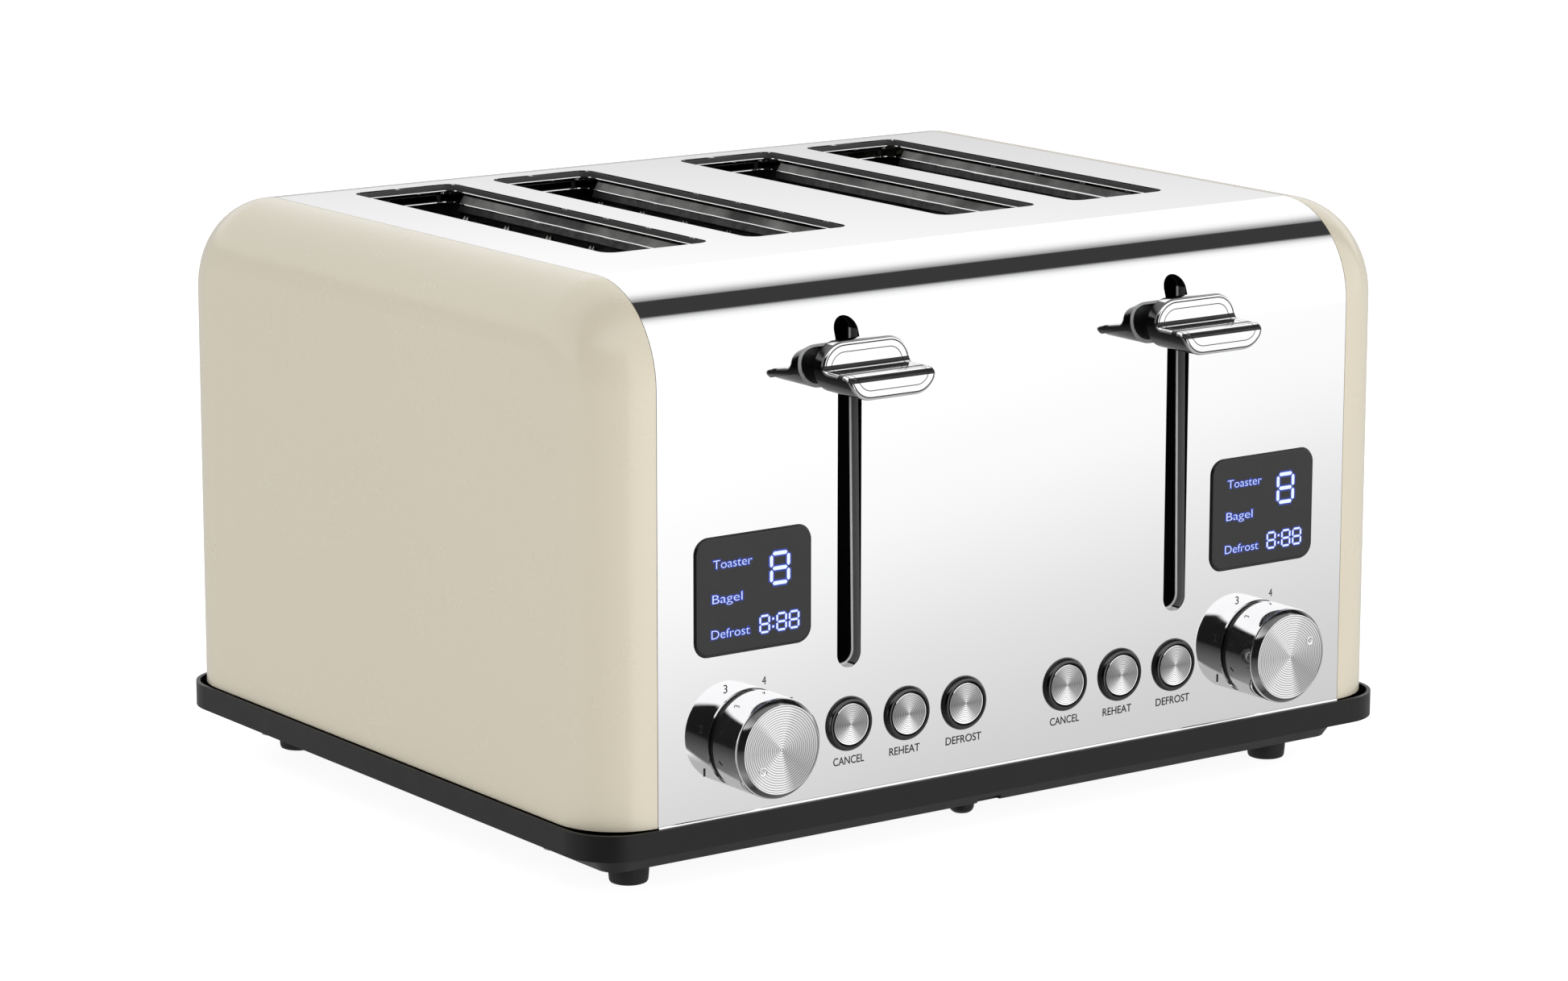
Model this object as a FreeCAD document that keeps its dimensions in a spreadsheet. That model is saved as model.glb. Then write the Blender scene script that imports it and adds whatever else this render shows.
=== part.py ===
"""Four-slice pop-up toaster: two lever mechanisms side by side under one chrome wrap.

Frame: +X right, +Y to the back, +Z up. The feet stand on z = 0 and the origin is under the
middle of the toaster's box. Inside each sub-part, depth is counted from the front face of the
chrome wrap, and face_y moves that face to its place. All sizes are millimetres.
"""
import FreeCAD, Part
import Sketcher
import math
import os

from FreeCAD import Rotation, Vector

SIZES = [
    ("depth", 247.6, "front face to back face of the chrome wrap"),
    ("body_top", 185.5, "top of the wrap above the table"),
    ("body_half", 155.5, "middle to the flat of a side panel"),
    ("seam_half", 134.0, "middle to the seam between wrap and side panel"),
    ("seam_gap", 0.2, "gap at that seam"),
    ("bend_radius", 30.5, "bend of the wrap from front or back into the top"),
    ("wrap_low", 22.4, "lower edge of the wrap"),
    ("wrap_skin", 1.0, "sheet of the wrap"),
    ("panel_low", 23.6, "lower edge of a side panel"),
    ("panel_round", 21.2, "rounding round a side panel's outer face"),
    ("panel_skin", 2.0, "wall of a side panel"),
    ("rim_proud", 1.5, "how far the base rim stands out all round"),
    ("rim_low", 15.2, "lower edge of the base rim"),
    ("rim_top", 23.2, "upper edge of the base rim"),
    ("rim_wall", 1.3, "wall of the base rim"),
    ("rim_corner", 17.0, "plan corner of the base rim"),
    ("pan_inset", 9.0, "rim to pan, in plan"),
    ("pan_low", 7.8, "underside of the pan"),
    ("pan_corner", 11.0, "plan corner of the pan"),
    ("pan_slope", 35.0, "slope of the pan's sides, degrees from upright"),
    ("notch_half", 4.5, "half width of the notch in the pan's front edge"),
    ("notch_deep", 5.0, "depth of that notch"),
    ("floor_skin", 2.0, "floor of rim and pan"),
    ("stub_radius", 4.0, "middle stub under the front edge"),
    ("stub_low", 1.2, "lowest point of that stub"),
    ("foot_x", 127.0, "middle to a foot"),
    ("foot_front", 26.3, "front feet, from the wrap's face"),
    ("foot_rear", 222.0, "rear feet, from the wrap's face"),
    ("foot_radius", 6.5, "foot at the pan"),
    ("foot_tip", 6.0, "foot at the table"),
    ("slot_inner", 37.66, "middle to an inner bread slot"),
    ("slot_outer", 90.6, "middle to an outer bread slot"),
    ("slot_width", 38.9, "bread slot across"),
    ("slot_front", 61.6, "front end of the bread slots"),
    ("slot_length", 149.1, "bread slot, front to back"),
    ("slot_corner", 4.5, "corner of a bread slot"),
    ("slot_lip", 3.2, "turned-down lip round a bread slot"),
    ("collar_low", 168.0, "lower edge of the collar under a bread slot"),
    ("collar_gap", 0.25, "slot edge to collar"),
    ("collar_skin", 0.8, "sheet of the collar"),
    ("lever_x", 64.0, "middle to a lever, its slot and its guide rod"),
    ("lever_slot", 8.9, "lever slot across"),
    ("lever_slot_low", 62.7, "lower end of the lever slot"),
    ("lever_slot_top", 170.2, "upper end of the lever slot"),
    ("lever_lip", 4.2, "turned-in lip of the lever slot"),
    ("lever_lip_trim", 0.01, "what the lip may stand proud of the wrap's bend"),
    ("lever_travel", 88.0, "travel of a lever"),
    ("lever_half", 16.2, "lever knob, half its width"),
    ("lever_low", 149.1, "lowest edge of the lever knob at rest"),
    ("lever_high", 164.8, "highest edge of the lever knob at rest"),
    ("lever_end", 7.8, "rounding of the lever knob's ends"),
    ("lever_back", 4.0, "back of the lever knob, in front of the wrap"),
    ("lever_plate", 8.5, "front of its upright plate"),
    ("lever_reach", 22.2, "front of its thumb lip"),
    ("lever_shelf", 156.6, "upper side of its shelf"),
    ("lever_fold", 2.0, "rounding between its upright face and its shelf"),
    ("lever_brow", 3.2, "rounding between its shelf and its lip"),
    ("arm_thick", 4.0, "lever arm across"),
    ("arm_low", 153.0, "underside of the lever arm"),
    ("arm_top", 161.0, "upper side of the lever arm"),
    ("display_x", 99.7, "middle to a display"),
    ("display_z", 91.2, "height of a display's middle"),
    ("display_wide", 42.8, "display window across"),
    ("display_high", 36.5, "display window height"),
    ("display_corner", 5.0, "corner of a display window"),
    ("display_proud", 0.8, "display lens in front of the wrap"),
    ("lens_thick", 2.6, "display lens thickness"),
    ("button_first", 20.0, "middle to the nearest button"),
    ("button_pitch", 22.0, "button to button"),
    ("button_z", 45.2, "height of the buttons"),
    ("button_radius", 6.55, "button cap"),
    ("button_front", 1.5, "button cap in front of the wrap"),
    ("button_travel", 1.4, "travel of a button"),
    ("bezel_hole", 7.3, "hole in the wrap for a button bezel"),
    ("bezel_sleeve", 7.25, "outside of the bezel's sleeve"),
    ("bezel_bore", 6.85, "inside of the bezel's sleeve"),
    ("bezel_foot", 8.5, "bezel where it meets the wrap"),
    ("bezel_proud", 1.7, "bezel in front of the wrap"),
    ("sleeve_length", 6.0, "bezel's sleeve behind the wrap's face"),
    ("cap_length", 5.0, "back of a button cap, behind the wrap's face"),
    ("plunger_radius", 2.5, "button plunger"),
    ("dial_x", 100.0, "middle to a browning dial"),
    ("dial_z", 45.7, "height of the browning dials"),
    ("dial_radius", 15.4, "browning dial"),
    ("dial_front", 15.5, "dial's face in front of the wrap"),
    ("dial_bevel", 1.9, "bevel round the dial's face"),
    ("dial_gap", 1.2, "back of the dial, in front of the wrap"),
    ("dial_shaft", 3.0, "dial shaft radius"),
    ("dial_mark", 1.3, "radius of the dimple that marks the setting"),
    ("dial_mark_out", 9.0, "dial's middle to that dimple"),
    ("left_mark", 221.0, "angle of the left dimple at rest, from +X"),
    ("right_mark", 27.0, "angle of the right dimple at rest, from +X"),
    ("running_gap", 0.05, "radial clearance of a shaft in its bore"),
    ("board_front", 14.0, "front of a control board"),
    ("board_inner", 10.0, "middle to a control board"),
    ("board_outer", 122.0, "middle to the outer side of a control board"),
    ("board_step", 76.0, "middle to the part of a board behind the display"),
    ("board_low", 30.0, "lower edge of a control board"),
    ("board_shoulder", 60.0, "upper edge of a board behind the buttons"),
    ("board_above", 2.0, "board above the display window"),
    ("switch_deep", 4.0, "push switch in front of its board"),
    ("switch_half", 3.0, "half width of a push switch"),
    ("dial_switch_half", 8.0, "half width of a rotary switch"),
    ("dial_switch_deep", 9.0, "rotary switch in front of its board"),
    ("board_skin", 1.6, "thickness of a control board"),
    ("plate_front", 50.0, "front of the front chassis plate"),
    ("plate_rear", 220.0, "front of the rear chassis plate"),
    ("plate_skin", 1.2, "steel of the chassis"),
    ("plate_half", 130.0, "half width of a chassis plate"),
    ("plate_foot", 151.0, "half width across its two feet"),
    ("plate_top", 178.0, "upper edge of a chassis plate"),
    ("plate_neck", 40.0, "upper edge of a chassis plate's wide feet"),
    ("lifter_slit", 2.0, "half width of a lifter's slit in the front plate"),
    ("slit_low", 20.0, "lower end of that slit"),
    ("shelf_half", 100.0, "half width of the mechanism shelf"),
    ("shelf_front", 20.0, "front of the mechanism shelf"),
    ("rod_y", 38.0, "guide rods behind the wrap's face"),
    ("rod_radius", 3.0, "guide rod"),
    ("rod_top", 168.0, "upper end of a guide rod"),
    ("carriage_low", 107.5, "lower edge of a carriage at rest"),
    ("carriage_top", 146.0, "upper edge of a carriage at rest"),
    ("carriage_front", 43.0, "front of the carriage plate"),
    ("carriage_skin", 1.5, "steel of a carriage"),
    ("bush_low", 132.0, "underside of the carriage's guide bush"),
    ("bush_front", 32.0, "front of that bush"),
    ("bush_half", 8.0, "half width of that bush"),
    ("lifter_low", 110.0, "underside of a bread lifter at rest"),
    ("lifter_top", 118.0, "upper side of a bread lifter at rest"),
    ("lifter_rear", 210.0, "rear end of a bread lifter"),
    ("lifter_half", 13.0, "half width of a lifter's rungs"),
    ("lifter_thick", 1.6, "sheet of a bread lifter"),
    ("spring_radius", 4.3, "return spring, middle of the wire"),
    ("spring_wire", 0.4, "radius of the spring wire"),
    ("spring_pitch", 8.0, "pitch of the return spring"),
    ("magnet_out", 18.0, "guide rod to hold magnet, towards the middle"),
    ("magnet_half", 6.0, "half width of a hold magnet"),
    ("magnet_top", 38.0, "upper side of a hold magnet"),
    ("magnet_front", 24.0, "front of a hold magnet"),
    ("magnet_back", 40.0, "back of a hold magnet"),
    ("armature_skin", 1.6, "thickness of an armature"),
    ("heater_thick", 1.0, "mica board"),
    ("heater_inner", 11.0, "middle to an inner heater board"),
    ("heater_outer", 117.4, "middle to an outer heater board"),
    ("heater_low", 35.0, "lower edge of a heater board"),
    ("heater_top", 160.0, "upper edge of a heater board"),
    ("ribbon_high", 3.0, "width of the heater ribbon"),
    ("ribbon_thick", 0.3, "thickness of the heater ribbon"),
    ("ribbon_pitch", 19.0, "ribbon turn to ribbon turn"),
    ("guide_out", 17.0, "slot's middle to a bread guide"),
    ("guide_wire", 0.9, "radius of a bread guide's long wires"),
    ("guide_upright", 0.7, "radius of a bread guide's uprights"),
    ("guide_low", 30.0, "height of the bread guides' pivots"),
    ("guide_top", 173.0, "top of the bread guides"),
    ("tray_inner", 14.0, "middle to a crumb tray"),
    ("tray_outer", 116.0, "middle to the outer side of a crumb tray"),
    ("tray_low", 10.1, "underside of a crumb tray"),
    ("tray_high", 14.0, "upper edge of a crumb tray"),
    ("tray_front", 36.0, "front end of a crumb tray"),
    ("tray_rear", 241.0, "back of a crumb tray, where its handle starts"),
    ("tray_handle", 6.0, "depth of a crumb tray's handle"),
    ("gland_z", 38.0, "height of the cord gland"),
    ("gland_bore", 3.75, "bore of the cord gland"),
    ("gland_body", 5.9, "cord gland inside the wrap"),
    ("gland_flange", 8.0, "flange of the cord gland"),
    ("gland_length", 11.0, "cord gland inside the wrap's back face"),
    ("screw_x", 138.0, "middle to a base screw"),
    ("screw_radius", 1.5, "base screw"),
    ("screw_head", 3.2, "head of a base screw"),
    ("screw_crown", 1.2, "height of that head"),
]
SIDES = (("left", -1), ("right", 1))
BUTTON_NAMES = ("cancel", "reheat", "defrost")
LIFTER_RUNGS = 6
GUIDE_UPRIGHTS = 6
RIBBON_TURNS = 6

doc = FreeCAD.newDocument("popup_toaster")
sheet = doc.addObject("Spreadsheet::Sheet", "sizes")
pieces = {}


class Size:
    """A length that carries both its number and its formula in the sheet."""

    def __init__(self, value, formula=None):
        self.value = value
        self.formula = formula or f"{value:.6g}"

    def joined(self, other, sign, value):
        return Size(value, f"({self.formula} {sign} {other.formula})")

    def __add__(self, other):
        other = as_size(other)
        return self.joined(other, "+", self.value + other.value)

    def __sub__(self, other):
        other = as_size(other)
        return self.joined(other, "-", self.value - other.value)

    def __mul__(self, other):
        other = as_size(other)
        return self.joined(other, "*", self.value * other.value)

    def __truediv__(self, other):
        other = as_size(other)
        return self.joined(other, "/", self.value / other.value)

    def __neg__(self):
        return Size(-self.value, f"(-1 * {self.formula})")

    def __radd__(self, other):
        return as_size(other) + self

    def __rsub__(self, other):
        return as_size(other) - self

    def __rmul__(self, other):
        return as_size(other) * self


def as_size(number):
    return number if isinstance(number, Size) else Size(number)


def value_of(size):
    return size.value


class Sheet:
    """The driving sizes by name, as Size values."""

    def __init__(self):
        for row, (name, number, note) in enumerate(SIZES, 1):
            sheet.set(f"A{row}", note)
            sheet.set(f"B{row}", str(number))
            sheet.setAlias(f"B{row}", name)
            setattr(self, name, Size(number, f"sizes.{name}"))


S = Sheet()
FACE_Y = (S.lever_reach - S.depth - S.rim_proud) / 2
BUTTON_XS = [S.button_first + S.button_pitch * index for index in range(3)]
SLOTS = [
    ("left_outer", -S.slot_outer),
    ("left_inner", -S.slot_inner),
    ("right_inner", 1 * S.slot_inner),
    ("right_outer", 1 * S.slot_outer),
]


# Plain shapes --------------------------------------------------------------------------------
def bind(obj, prop, size):
    obj.setExpression(prop, as_size(size).formula)


def move(obj, at):
    """Puts an object at (x, depth behind the wrap's face, z)."""
    x, y, z = at
    bind(obj, "Placement.Base.x", x)
    bind(obj, "Placement.Base.y", FACE_Y + y)
    bind(obj, "Placement.Base.z", z)
    return obj


def box(low, high, name="Block"):
    """A box between two opposite corners, the low one first."""
    obj = doc.addObject("Part::Box", name)
    for prop, start, end in zip(("Length", "Width", "Height"), low, high):
        bind(obj, prop, as_size(end) - start)
    return move(obj, low)


def side_box(sign, near_x, far_x, y_range, z_range, name="Block"):
    """A box on one side of the middle, from near_x to far_x away from it."""
    low_x, high_x = (near_x, far_x) if sign > 0 else (-as_size(far_x), -as_size(near_x))
    return box((low_x, y_range[0], z_range[0]), (high_x, y_range[1], z_range[1]), name)


def turned_to_y(obj):
    obj.Placement.Rotation = Rotation(Vector(1, 0, 0), -90)


def rod(at, radius, length, along_y=False, name="Rod"):
    obj = doc.addObject("Part::Cylinder", name)
    bind(obj, "Radius", radius)
    bind(obj, "Height", length)
    if along_y:
        turned_to_y(obj)
    return move(obj, at)


def cone(at, first, last, length, along_y=False, name="Taper"):
    obj = doc.addObject("Part::Cone", name)
    bind(obj, "Radius1", first)
    bind(obj, "Radius2", last)
    bind(obj, "Height", length)
    if along_y:
        turned_to_y(obj)
    return move(obj, at)


def fuse(shapes, name="Fused"):
    obj = doc.addObject("Part::MultiFuse", name)
    obj.Shapes = shapes
    return obj


def cut(base, tool, name="Cut"):
    obj = doc.addObject("Part::Cut", name)
    obj.Base = base
    obj.Tool = tool
    return obj


def group(shapes, name="Group"):
    """Separate solids that share one node."""
    obj = doc.addObject("Part::Compound", name)
    obj.Links = shapes
    return obj


def keep(label, obj):
    """Names a finished sub-part."""
    obj.Label = label
    pieces[label] = obj
    return obj


# Sketched bodies -----------------------------------------------------------------------------
def new_body(label, x=0, z=0):
    body = doc.addObject("PartDesign::Body", label)
    move(body, (x, 0, z))
    return keep(label, body)


def sketch_on(body, plane, offset=0):
    """A sketch on one of the body's own planes, moved along that plane's normal.

    The normals are +Z for XY, -Y for XZ and +X for YZ.
    """
    sketch = body.newObject("Sketcher::SketchObject", "Sketch")
    planes = [f for f in body.Origin.OriginFeatures if f.Role == f"{plane}_Plane"]
    sketch.AttachmentSupport = [(planes[0], "")]
    sketch.MapMode = "FlatFace"
    bind(sketch, "AttachmentOffset.Base.z", offset)
    return sketch


def stepped(corner, toward, distance):
    """The point that lies a distance from a corner along the straight run to its neighbour."""
    run_x = toward[0].value - corner[0].value
    run_y = toward[1].value - corner[1].value
    if abs(run_x) > abs(run_y):
        return corner[0] + math.copysign(1, run_x) * distance, corner[1]
    return corner[0], corner[1] + math.copysign(1, run_y) * distance


def rounded_stops(corners):
    """Each corner's one point, or the two ends of its rounding."""
    stops = []
    for index, corner in enumerate(corners):
        if len(corner) == 2:
            stops.append([corner])
            continue
        before = corners[index - 1]
        after = corners[(index + 1) % len(corners)]
        stops.append([stepped(corner, before, corner[2]), stepped(corner, after, corner[2])])
    return stops


def corner_arc(corner, start, end):
    """The quarter round between two straight runs, and whether it turns clockwise."""
    apex = Vector(corner[0].value, corner[1].value)
    first = Vector(start[0].value, start[1].value)
    last = Vector(end[0].value, end[1].value)
    centre = first + last - apex
    middle = centre + (apex - centre).normalize() * corner[2].value
    turn = (apex - first).cross(last - apex).z
    return Part.Arc(first, middle, last), turn < 0


def pin(sketch, pins):
    """Fixes points of the sketch at sizes from the sheet: (geometry, point, x, y)."""
    for geometry, point, x, y in pins:
        for kind, size in (("DistanceX", x), ("DistanceY", y)):
            rule = Sketcher.Constraint(kind, -1, 1, geometry, point, size.value)
            bind(sketch, f"Constraints[{sketch.addConstraint(rule)}]", size)


def outline(sketch, corners):
    """A closed outline of straight runs. A corner is (x, y) or (x, y, radius)."""
    corners = [tuple(as_size(part) for part in corner) for corner in corners]
    stops = rounded_stops(corners)
    pins = []
    lines = []
    for index, stop in enumerate(stops):
        start = stop[-1]
        end = stops[(index + 1) % len(stops)][0]
        segment = Part.LineSegment(
            Vector(start[0].value, start[1].value), Vector(end[0].value, end[1].value)
        )
        lines.append(sketch.addGeometry(segment))
        pins.append((lines[-1], 1, *start))
        if len(stops[(index + 1) % len(stops)]) == 2:
            pins.append((lines[-1], 2, *end))
    pin(sketch, pins)
    for index, stop in enumerate(stops):
        arriving, leaving = lines[index - 1], lines[index]
        if len(stop) == 1:
            sketch.addConstraint(Sketcher.Constraint("Coincident", arriving, 2, leaving, 1))
            continue
        arc, clockwise = corner_arc(corners[index], *stop)
        bend = sketch.addGeometry(arc)
        first, last = (2, 1) if clockwise else (1, 2)
        sketch.addConstraint(Sketcher.Constraint("Coincident", bend, first, arriving, 2))
        sketch.addConstraint(Sketcher.Constraint("Coincident", bend, last, leaving, 1))
        radius = corners[index][2]
        rule = Sketcher.Constraint("Radius", bend, radius.value)
        bind(sketch, f"Constraints[{sketch.addConstraint(rule)}]", radius)


def rectangle(sketch, low, high, radius=None):
    """An upright rectangle between two corners, rounded where a radius is given."""
    ends = ((low[0], low[1]), (high[0], low[1]), (high[0], high[1]), (low[0], high[1]))
    outline(sketch, [end if radius is None else (*end, radius) for end in ends])


def circle(sketch, x, y, radius):
    x, y, radius = as_size(x), as_size(y), as_size(radius)
    shape = Part.Circle(Vector(x.value, y.value), Vector(0, 0, 1), radius.value)
    ring = sketch.addGeometry(shape)
    pin(sketch, [(ring, 3, x, y)])
    rule = Sketcher.Constraint("Radius", ring, radius.value)
    bind(sketch, f"Constraints[{sketch.addConstraint(rule)}]", radius)


def extrude(body, kind, sketch, length, flip=False, both_ways=False, taper=None):
    feature = body.newObject(f"PartDesign::{kind}", kind)
    feature.Profile = sketch
    bind(feature, "Length", length)
    feature.Reversed = flip
    if both_ways:
        feature.SideType = "Symmetric"
    if taper is not None:
        bind(feature, "TaperAngle", taper)
    body.Tip = feature
    return feature


def pad(body, sketch, length, **ways):
    """Adds material along the sketch's normal, or against it when flipped."""
    return extrude(body, "Pad", sketch, length, **ways)


def pocket(body, sketch, length, **ways):
    """Removes material against the sketch's normal, or along it when flipped."""
    return extrude(body, "Pocket", sketch, length, **ways)


def revolve(body, sketch):
    """Turns a profile drawn on the XY plane about the body's own Y axis."""
    feature = body.newObject("PartDesign::Revolution", "Revolution")
    feature.Profile = sketch
    feature.ReferenceAxis = (sketch, ["V_Axis"])
    feature.Angle = 360
    body.Tip = feature
    return feature


def fillet(body, radius, chosen):
    """Rounds the edges of the body so far for which chosen(edge) is true."""
    doc.recompute()
    base = body.Tip
    names = [f"Edge{n}" for n, edge in enumerate(base.Shape.Edges, 1) if chosen(edge)]
    feature = body.newObject("PartDesign::Fillet", "Fillet")
    feature.Base = (base, names)
    bind(feature, "Radius", radius)
    body.Tip = feature
    return feature


def hollow(body, skin, opened):
    """Leaves a wall of the given thickness, open at the faces for which opened(face) is true."""
    doc.recompute()
    base = body.Tip
    names = [f"Face{n}" for n, face in enumerate(base.Shape.Faces, 1) if opened(face)]
    feature = body.newObject("PartDesign::Thickness", "Thickness")
    feature.Base = (base, names)
    bind(feature, "Value", skin)
    feature.Reversed = True
    body.Tip = feature
    return feature


def near(number, size):
    return abs(number - size.value) < 0.01


# Casing --------------------------------------------------------------------------------------
def slot_outlines(sketch, margin=0):
    """The bread slots in plan, grown by a margin."""
    half = S.slot_width / 2 + margin
    front = S.slot_front - margin
    back = S.slot_front + S.slot_length + margin
    for _, x in SLOTS:
        rectangle(sketch, (x - half, front), (x + half, back), S.slot_corner + margin)


def lever_slot_outlines(sketch, margin=0):
    """The two upright lever slots, grown by a margin."""
    half = S.lever_slot / 2 + margin
    for _, sign in SIDES:
        middle = sign * S.lever_x
        low = (middle - half, S.lever_slot_low - margin)
        high = (middle + half, S.lever_slot_top + margin)
        rectangle(sketch, low, high, half - 0.01)


def display_outlines(sketch, sign, gap=0):
    half_wide = S.display_wide / 2 - gap
    half_high = S.display_high / 2 - gap
    middle = sign * S.display_x
    low = (middle - half_wide, S.display_z - half_high)
    high = (middle + half_wide, S.display_z + half_high)
    rectangle(sketch, low, high, S.display_corner - gap)


def make_outer_wrap():
    """One chrome sheet bent over the front, the top and the back."""
    body = new_body("outer_wrap")
    skin = S.wrap_skin
    inner_top = S.body_top - skin
    inner_back = S.depth - skin
    profile = sketch_on(body, "YZ")
    outline(profile, [
        (0, S.wrap_low),
        (skin, S.wrap_low),
        (skin, inner_top, S.bend_radius - skin),
        (inner_back, inner_top, S.bend_radius - skin),
        (inner_back, S.wrap_low),
        (S.depth, S.wrap_low),
        (S.depth, S.body_top, S.bend_radius),
        (0, S.body_top, S.bend_radius),
    ])
    pad(body, profile, 2 * S.seam_half, both_ways=True)
    slot_lips = sketch_on(body, "XY", S.body_top - S.slot_lip)
    slot_outlines(slot_lips, skin)
    pad(body, slot_lips, S.slot_lip - skin / 2)
    slots = sketch_on(body, "XY", S.body_top)
    slot_outlines(slots)
    pocket(body, slots, S.slot_lip + skin)
    lever_lips = sketch_on(body, "XZ", -S.lever_lip)
    lever_slot_outlines(lever_lips, skin)
    pad(body, lever_lips, S.lever_lip - skin / 2)
    trim = S.lever_lip_trim
    bend_start = S.body_top - S.bend_radius - skin
    bend_end = S.bend_radius + skin
    past_bend = sketch_on(body, "YZ")
    outline(past_bend, [
        (-trim, bend_start),
        (-trim, S.body_top + trim, S.bend_radius + trim),
        (bend_end, S.body_top + trim),
        (bend_end, S.body_top + skin),
        (-skin, S.body_top + skin),
        (-skin, bend_start),
    ])
    pocket(body, past_bend, 2 * S.seam_half, both_ways=True)
    windows = sketch_on(body, "XZ")
    lever_slot_outlines(windows)
    for _, sign in SIDES:
        display_outlines(windows, sign)
        circle(windows, sign * S.dial_x, S.dial_z, S.dial_shaft + 1)
        for x in BUTTON_XS:
            circle(windows, sign * x, S.button_z, S.bezel_hole)
    pocket(body, windows, S.lever_lip + 3 * skin)
    cord_hole = sketch_on(body, "XZ", -(S.depth - 2 * skin))
    circle(cord_hole, 0, S.gland_z, S.gland_body + 0.1)
    pocket(body, cord_hole, 3 * skin)


def make_side_panel(side, sign):
    """A hollow shell: flat outer face, large rounding into front, top and back."""
    body = new_body(f"{side}_side_panel")
    seam = S.seam_half + S.seam_gap
    face = sketch_on(body, "YZ", sign * seam)
    outline(face, [
        (0, S.panel_low),
        (S.depth, S.panel_low),
        (S.depth, S.body_top, S.bend_radius),
        (0, S.body_top, S.bend_radius),
    ])
    pad(body, face, S.body_half - seam, flip=sign < 0)
    outer = sign * S.body_half

    def on_outer_rim(edge):
        span = edge.BoundBox
        at_outside = near(span.XMin, outer) and near(span.XMax, outer)
        return at_outside and not near(span.ZMax, S.panel_low)

    fillet(body, S.panel_round, on_outer_rim)

    def inside_or_below(face):
        span = face.BoundBox
        at_seam = near(span.XMin, sign * seam) and near(span.XMax, sign * seam)
        return at_seam or near(span.ZMax, S.panel_low)

    hollow(body, S.panel_skin, inside_or_below)


def base_outline(sketch, inset, radius):
    """The base in plan, moved in from the rim by an inset."""
    half = S.body_half + S.rim_proud - inset
    front = inset - S.rim_proud
    back = S.depth + S.rim_proud - inset
    rectangle(sketch, (-half, front), (half, back), radius)


def make_base_tray():
    """Black base: an upright rim round a shallower pan with sloping sides."""
    body = new_body("base_tray")
    rim = sketch_on(body, "XY", S.rim_low)
    base_outline(rim, 0, S.rim_corner)
    pad(body, rim, S.rim_top - S.rim_low)
    pan = sketch_on(body, "XY", S.rim_low)
    base_outline(pan, S.pan_inset, S.pan_corner)
    pad(body, pan, S.rim_low - S.pan_low, flip=True, taper=-S.pan_slope)
    stub = sketch_on(body, "XY", S.pan_low + S.floor_skin / 2)
    circle(stub, 0, S.foot_front, S.stub_radius)
    pad(body, stub, S.pan_low + S.floor_skin / 2 - S.stub_low, flip=True)
    fillet(body, S.stub_radius * 0.6, lambda edge: near(edge.BoundBox.ZMax, S.stub_low))
    ledge = S.rim_low + S.floor_skin
    rim_inside = sketch_on(body, "XY", S.rim_top)
    base_outline(rim_inside, S.rim_wall, S.rim_corner - S.rim_wall)
    pocket(body, rim_inside, S.rim_top - ledge)
    pan_inside = sketch_on(body, "XY", ledge)
    base_outline(pan_inside, S.pan_inset + S.floor_skin, S.pan_corner - S.floor_skin)
    pocket(body, pan_inside, S.rim_low - S.pan_low, taper=-S.pan_slope)
    mouths = sketch_on(body, "XZ", -(S.depth - S.pan_inset - 3 * S.floor_skin - 2))
    for _, sign in SIDES:
        across = (sign * (S.tray_inner - 2), sign * (S.tray_outer + 2))
        near_x, far_x = sorted(across, key=value_of)
        low = (near_x, S.pan_low + S.floor_skin)
        rectangle(mouths, low, (far_x, S.tray_high + 0.6))
    pocket(body, mouths, 8 * S.floor_skin)
    notch = sketch_on(body, "XY", S.pan_low)
    rectangle(notch, (-S.notch_half, S.pan_inset), (S.notch_half, S.pan_inset + S.notch_deep))
    pocket(body, notch, S.floor_skin * 0.75, flip=True)
    screw_holes = sketch_on(body, "XY", S.pan_low)
    for _, sign in SIDES:
        for y in (S.plate_front, S.plate_rear):
            circle(screw_holes, sign * S.screw_x, y + S.plate_skin / 2, S.screw_radius + 0.1)
    pocket(body, screw_holes, 2 * S.floor_skin, flip=True)


def make_feet():
    feet = []
    for _, sign in SIDES:
        for y in (S.foot_front, S.foot_rear):
            feet.append(cone((sign * S.foot_x, y, 0), S.foot_tip, S.foot_radius, S.pan_low))
    keep("rubber_feet", group(feet))


def make_cord_gland():
    """Bushed hole in the back of the wrap, where the cord goes in."""
    body = new_body("cord_gland", z=S.gland_z)
    profile = sketch_on(body, "XY")
    flange_back = S.depth + S.rim_proud - 0.1
    outline(profile, [
        (S.gland_bore, S.depth - S.gland_length),
        (S.gland_body, S.depth - S.gland_length),
        (S.gland_body, S.depth),
        (S.gland_flange, S.depth),
        (S.gland_flange, flange_back),
        (S.gland_bore, flange_back),
    ])
    revolve(body, profile)


def make_base_screws():
    """Four screws up through the pan into the feet of the chassis plates."""
    screws = []
    for _, sign in SIDES:
        for plate in (S.plate_front, S.plate_rear):
            x, y = sign * S.screw_x, plate + S.plate_skin / 2
            head = rod((x, y, S.pan_low - S.screw_crown), S.screw_head, S.screw_crown)
            shank = rod((x, y, S.pan_low), S.screw_radius, S.rim_low + S.floor_skin - S.pan_low)
            screws.append(fuse([head, shank]))
    keep("base_screws", group(screws))


# Controls ------------------------------------------------------------------------------------
def make_display(side, sign):
    """A dark lens that stands a little in front of its window."""
    body = new_body(f"{side}_display_lens")
    lens = sketch_on(body, "XZ", -(S.lens_thick - S.display_proud))
    display_outlines(lens, sign, 0.2)
    pad(body, lens, S.lens_thick)


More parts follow.
